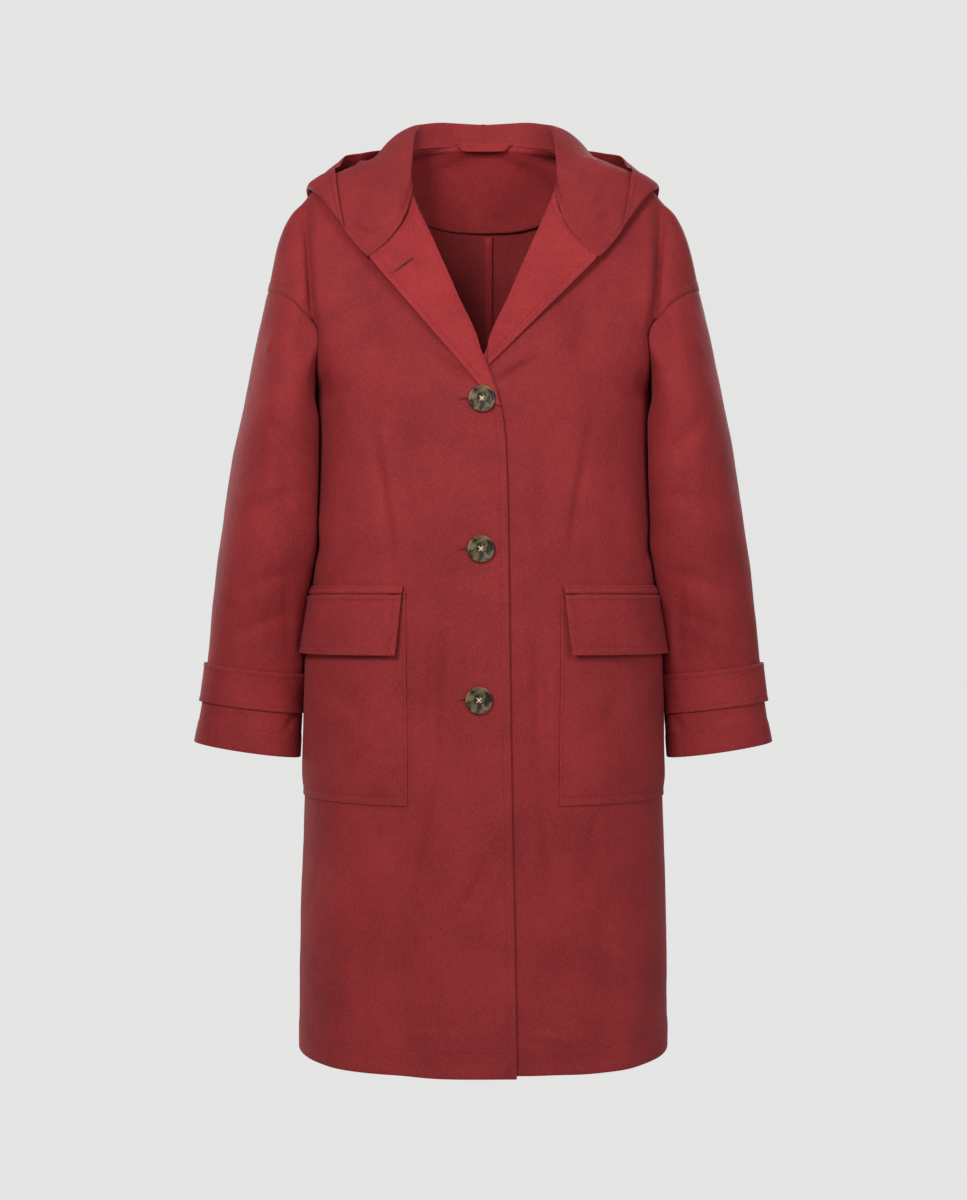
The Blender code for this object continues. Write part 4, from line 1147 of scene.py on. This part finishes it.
def loop_sheet():
    def shape(s, t):
        half = (LOOP["half_low"] + (LOOP["half_top"] - LOOP["half_low"]) * t) * MM
        x = (2 * s - 1) * half
        y = 0.070 - 6.5 * x * x - 9.0 * MM - 1.2 * MM * np.cos(math.pi * (s - 0.5))
        return np.stack([x, y, (LOOP["low"] + (LOOP["top"] - LOOP["low"]) * t) * MM], axis=1)

    def relief(points, far):
        return 0.25 * MM * band(np.minimum(far["low"], far["top"]), 1.6)

    return cloth("hanger_loop", shape, (48, 12), 1, relief, "facing", rests_on=("back_neck_facing_cloth",), crowd=0.2)


def horn_material():
    made = bpy.data.materials.new("horn")
    made.use_nodes = True
    nodes, links = made.node_tree.nodes, made.node_tree.links
    shader = nodes["Principled BSDF"]
    shader.inputs["Roughness"].default_value = 0.5
    shader.inputs["Specular IOR Level"].default_value = 0.3
    shader.inputs["Coat Weight"].default_value = 0.12
    shader.inputs["Coat Roughness"].default_value = 0.25
    place = nodes.new("ShaderNodeTexCoord")
    cloud_of = nodes.new("ShaderNodeTexNoise")
    cloud_of.inputs["Scale"].default_value = 70.0
    cloud_of.inputs["Detail"].default_value = 2.0
    cloud_of.inputs["Distortion"].default_value = 0.8
    ramp = nodes.new("ShaderNodeValToRGB")
    ramp.color_ramp.elements[0].position = 0.43
    ramp.color_ramp.elements[0].color = (*COLOURS["horn_dark"], 1)
    ramp.color_ramp.elements[1].position = 0.62
    ramp.color_ramp.elements[1].color = (*COLOURS["horn_pale"], 1)
    middle = ramp.color_ramp.elements.new(0.50)
    middle.color = (*COLOURS["horn_mid"], 1)
    links.new(place.outputs["Object"], cloud_of.inputs["Vector"])
    links.new(cloud_of.outputs["Fac"], ramp.inputs["Fac"])
    rings = nodes.new("ShaderNodeTexWave")
    rings.wave_type, rings.rings_direction = "RINGS", "Z"
    rings.inputs["Scale"].default_value = 520.0
    rings.inputs["Distortion"].default_value = 0.6
    links.new(place.outputs["Object"], rings.inputs["Vector"])
    turned = nodes.new("ShaderNodeMix")
    turned.data_type, turned.blend_type = "RGBA", "MULTIPLY"
    turned.inputs["Factor"].default_value = 0.45
    links.new(ramp.outputs["Color"], turned.inputs[6])
    links.new(rings.outputs["Color"], turned.inputs[7])
    links.new(turned.outputs[2], shader.inputs["Base Color"])
    groove = nodes.new("ShaderNodeBump")
    groove.inputs["Strength"].default_value = 0.3
    groove.inputs["Distance"].default_value = 0.00006
    links.new(rings.outputs["Fac"], groove.inputs["Height"])
    links.new(groove.outputs["Normal"], shader.inputs["Normal"])
    return made


def button(number, x, z):
    """A turned horn disc with a rolled rim, a dish and four holes, and the thread that holds it."""
    radius, thick = BUTTON["diameter"] / 2 * MM, BUTTON["thick"] * MM
    profile = (
        (0.0, 0.0), (0.70, 0.02), (0.86, 0.12), (0.96, 0.32), (1.0, 0.55), (0.995, 0.72), (0.97, 0.88),
        (0.93, 0.97), (0.89, 1.0), (0.85, 0.98), (0.81, 0.90), (0.77, 0.80), (0.72, 0.73), (0.6, 0.69), (0.0, 0.66),
    )
    spin = 72
    verts, faces = [(0, 0, 0)], []
    for distance, height in profile[1:-1]:
        for k in range(spin):
            a = 2 * math.pi * k / spin
            verts.append((distance * radius * math.cos(a), distance * radius * math.sin(a), height * thick))
    verts.append((0, 0, profile[-1][1] * thick))
    last = len(profile) - 3
    for k in range(spin):
        n = (k + 1) % spin
        faces.append((0, 1 + n, 1 + k))
        for ring in range(last):
            low, high = 1 + ring * spin, 1 + (ring + 1) * spin
            faces.append((low + k, low + n, high + n, high + k))
        faces.append((1 + last * spin + k, 1 + last * spin + n, len(verts) - 1))
    name = "button_" + str(number)
    disc = place_mesh(name + "_horn", verts, faces, "horn")
    half = BUTTON["spacing"] / 2 * MM
    corners = [(a * half, b * half) for a in (-1, 1) for b in (-1, 1)]
    for hole_x, hole_y in corners:
        drill_mesh = bpy.data.meshes.new("drill")
        bm = bmesh.new()
        size = BUTTON["hole"] / 2 * MM
        bmesh.ops.create_cone(bm, cap_ends=True, segments=20, radius1=size, radius2=size, depth=4 * thick)
        bm.to_mesh(drill_mesh)
        bm.free()
        drill = bpy.data.objects.new("drill", drill_mesh)
        bpy.context.scene.collection.objects.link(drill)
        drill.location = (hole_x, hole_y, 0)
        cut = disc.modifiers.new("hole", "BOOLEAN")
        cut.object = drill
        bpy.context.view_layer.update()
        cleaned = bpy.data.meshes.new_from_object(disc.evaluated_get(bpy.context.evaluated_depsgraph_get()))
        disc.modifiers.clear()
        disc.data = cleaned
        bpy.data.objects.remove(drill)
    surface, normal = on_front("front_right", x * MM, z * MM)
    tilt = math.atan2(normal[0][2], -normal[0][1])
    turned = (math.pi / 2 - tilt, 0, 0)
    disc.location = surface[0] + normal[0] * BUTTON["clear"] * MM
    disc.rotation_euler = turned
    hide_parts(name)

    runs = []
    for a, b in ((0, 3), (1, 2)):
        for shift in (-0.42, 0.0, 0.42):
            start, end = np.array(corners[a]), np.array(corners[b])
            way = (end - start) / np.linalg.norm(end - start)
            aside = np.array([-way[1], way[0]]) * shift * MM
            share = np.linspace(-0.06, 1.06, 9)
            arch = 0.75 * MM * np.sin(math.pi * np.clip(share, 0, 1))
            bow = 0.72 * thick + arch - 0.6 * MM * (np.abs(share - 0.5) > 0.5)
            flat = start + aside + (end - start) * share[:, None]
            runs.append((np.column_stack([flat, bow]), np.tile([0.0, 0.0, 1.0], (len(share), 1))))
    cross = threads(name + "_thread", runs, "cream", "horn", long=60, gap=0.0, radius=0.30)
    cross.location, cross.rotation_euler = disc.location, turned
    return disc


def buttonhole(name, node, start, end, bar):
    """A cut worked round with thread on a piece, from start to end as seen in the picture, in metres. The cut is not
    opened: a near-black tube along it is painted shade.
    """
    start, end = np.array(start), np.array(end)
    way = (end - start) / np.linalg.norm(end - start)
    aside = np.array([-way[1], way[0]])
    length = np.linalg.norm(end - start)
    runs = []
    for k in range(int(length / (HOLE_PITCH * MM))):
        here = start + way * (k + 0.5) * HOLE_PITCH * MM
        for half in (-1, 1):
            ends = [here + aside * half * near * MM for near in (0.3, 1.1, 1.9)]
            runs.append(on_front(node, [p[0] for p in ends], [p[1] for p in ends]))
    if bar:
        for k in range(5):
            ends = [start - way * (0.2 + 0.55 * k) * MM + aside * half * MM for half in (-2.3, 0, 2.3)]
            runs.append(on_front(node, [p[0] for p in ends], [p[1] for p in ends]))
    # painted shade of the opening: a near-black tube laid just above the line of the cut
    share = np.linspace(0, 1, 12)
    cut = start + (end - start) * share[:, None]
    slit_shade_line = on_front(node, cut[:, 0], cut[:, 1], CLOTH / 2 + 0.25 * MM)
    threads(name + "_slit", [slit_shade_line], "slit", long=60, gap=0, radius=0.5)
    return threads(name, runs, "hole_thread", long=9, gap=0.0, radius=0.34)


def tack(node, x, z, long, wide):
    """A few thick stitches side by side on a piece, as seen from the front, in millimetres."""
    runs = []
    for k in np.linspace(-wide / 2, wide / 2, max(2, int(wide / 0.55))):
        runs.append(on_front(node, [(x - long / 2) * MM, (x + long / 2) * MM], [(z + k) * MM] * 2))
    return runs


def stitch_lines(side):
    """All the stitching of one half."""
    here = SIDE[side]
    lines = [inset("front_" + here, "low", HEM_STITCH), inset("back_" + here, "low", HEM_STITCH)]
    lines += [inset("front_" + here, "right", at, 0.66) for at in (NEAR_STITCH, ARM_STITCH)]
    lines += [inset("back_" + here, "right", at, 0.66) for at in (NEAR_STITCH, ARM_STITCH)]
    lines += [inset("back_" + here, "left", at) for at in (NEAR_STITCH, 7.0)]
    lines += [inset("back_" + here, "right", NEAR_STITCH, 0.0, 0.64)]
    lines += [inset("front_" + here, "left", EDGE_STITCH, 0.0, 0.66)]
    lines += [inset("lapel_" + here, "right", EDGE_STITCH)]
    for part, edge in (("front", "left"), ("back", "right")):
        name = "sleeve_" + part + "_" + here
        lines += [inset(name, "low", CUFF_STITCH), inset(name, edge, 5.5 if part == "front" else NEAR_STITCH)]
    hood_name = "hood_" + here
    lines += [inset(hood_name, "right", 7.0), inset(hood_name, "top", NEAR_STITCH), inset(hood_name, "top", 7.0)]
    pocket = "pocket_" + here
    lines += [inset(pocket, "left", 2.6, 0.02), inset(pocket, "right", 2.6, 0.02), inset(pocket, "low", 8.5)]
    flap = "pocket_flap_" + here
    lines += [inset(flap, "left", 7.5, 0.12, 0.85), inset(flap, "right", 7.5, 0.12, 0.85), inset(flap, "low", 7.5)]
    lines += [inset(flap, "top", 1.8), inset(flap, "top", 8.2)]
    strap = "cuff_strap_" + here
    lines += [inset(strap, "low", 5.0), inset(strap, "top", 5.0), inset(strap, "left", 5.0, 0.15, 0.85)]
    return threads("stitching_" + here, lines)


MATERIALS = {
    "cotton": cloth_material("cotton", "cotton_deep", "cotton_pale"),
    "facing": cloth_material("facing", "facing_deep", "facing_pale"),
    "horn": horn_material(),
    "thread": plain_material("thread", "thread", 0.6),
    "hole_thread": plain_material("hole_thread", "facing_deep", 0.6),
    # painted shade of the buttonhole openings
    "slit": plain_material("slit", "slit", 0.9),
    "cream": plain_material("cream_thread", "cream", 0.6),
    "floor": plain_material("floor", "floor", 0.9, 0.2),
}
DETAIL = 1.0

for half in (-1, 1):
    body_sheet("back", half)
    body_sheet("front", half)
    pocket_sheet(half)
    flap_sheet(half)
    sleeve_sheet(half, "front")
    sleeve_sheet(half, "back")
    lapel_sheet(half)
    hood_sheet(half)
    strap_sheet(half)
facing_sheet()
seam_allowance()
loop_sheet()
for half in (-1, 1):
    stitch_lines(half)
threads("stitching_neck", [inset("back_neck_facing", "low", 5.5)])
for index, (button_x, button_z) in enumerate(BUTTONS):
    button(index + 1, -button_x, button_z)
    hole = ((-25.2 * MM, button_z * MM), (1.0 * MM, button_z * MM))
    buttonhole("buttonhole_" + str(index + 1), "front_right", *hole, True)
for half in (-1, 1):
    flap_end = tack("pocket_flap_" + SIDE[half], half * 81, -482, 1.6, 8.0)
    threads("flap_tack_" + SIDE[half], flap_end, "hole_thread", radius=0.34)
eye = np.linspace(0, 2 * math.pi, 25)
ring = on_front("lapel_left", (84.5 + 2.2 * np.cos(eye)) * MM, (-139 + 2.2 * np.sin(eye)) * MM)
threads("lapel_eye", [ring], "hole_thread", long=60, gap=0.0, radius=0.42)
buttonhole("lapel_buttonhole", "lapel_right", (-94 * MM, -144 * MM), (-73.5 * MM, -127.5 * MM), True)

FLOOR_AT = -2.2  # metres, well below the hem
floor_mesh = bpy.data.meshes.new("floor")
bm = bmesh.new()
bmesh.ops.create_circle(bm, cap_ends=True, segments=96, radius=2.6)
bm.to_mesh(floor_mesh)
bm.free()
floor_mesh.materials.append(MATERIALS["floor"])
floor = bpy.data.objects.new("floor", floor_mesh)
floor.location = (0, 0, FLOOR_AT)
bpy.context.scene.collection.objects.link(floor)

world = bpy.data.worlds.new("studio")
bpy.context.scene.world = world
world.use_nodes = True
nodes, links = world.node_tree.nodes, world.node_tree.links
nodes.clear()
output = nodes.new("ShaderNodeOutputWorld")
shown = nodes.new("ShaderNodeBackground")
shown.inputs["Color"].default_value = (0.78, 0.78, 0.775, 1)
lit = nodes.new("ShaderNodeBackground")
lit.inputs["Color"].default_value = (0.95, 0.97, 1.0, 1)
lit.inputs["Strength"].default_value = 0.24
path = nodes.new("ShaderNodeLightPath")
which_one = nodes.new("ShaderNodeMixShader")
links.new(path.outputs["Is Camera Ray"], which_one.inputs[0])
links.new(lit.outputs[0], which_one.inputs[1])
links.new(shown.outputs[0], which_one.inputs[2])
links.new(which_one.outputs[0], output.inputs[0])

# Lights: place, what it looks at, size, power
LIGHTS = (
    ("key", (-0.75, -1.75, 0.50), (0, 0, -0.3), 0.7, 26),
    ("fill", (1.2, -1.7, 0.15), (0, 0, -0.3), 0.9, 13),
    ("top", (0, -0.5, 2.0), (0, 0, -0.3), 1.2, 8),
    ("behind", (0.9, 2.1, 0.6), (0, 0, -0.4), 1.6, 44),
    ("behind_low", (-1.6, 1.6, 0.0), (0, 0, -0.5), 1.4, 22),
)
for name, at, target, wide, power in LIGHTS:
    lamp = bpy.data.lights.new(name, "AREA")
    lamp.size, lamp.energy = wide, power
    lamp_object = bpy.data.objects.new(name, lamp)
    lamp_object.location = at
    lamp_object.rotation_euler = (Vector(target) - Vector(at)).to_track_quat("-Z", "Y").to_euler()
    bpy.context.scene.collection.objects.link(lamp_object)

camera = bpy.data.objects.new("camera", bpy.data.cameras.new("camera"))
camera.data.sensor_width = 36
camera.data.lens = 36 * -CAMERA_AT[1] / (PICTURE[1] * PIXEL)
camera.location = CAMERA_AT
camera.rotation_euler = (math.pi / 2, 0, 0)
bpy.context.scene.collection.objects.link(camera)
bpy.context.scene.camera = camera
bpy.context.scene.view_settings.view_transform = "Standard"

bpy.context.view_layer.update()
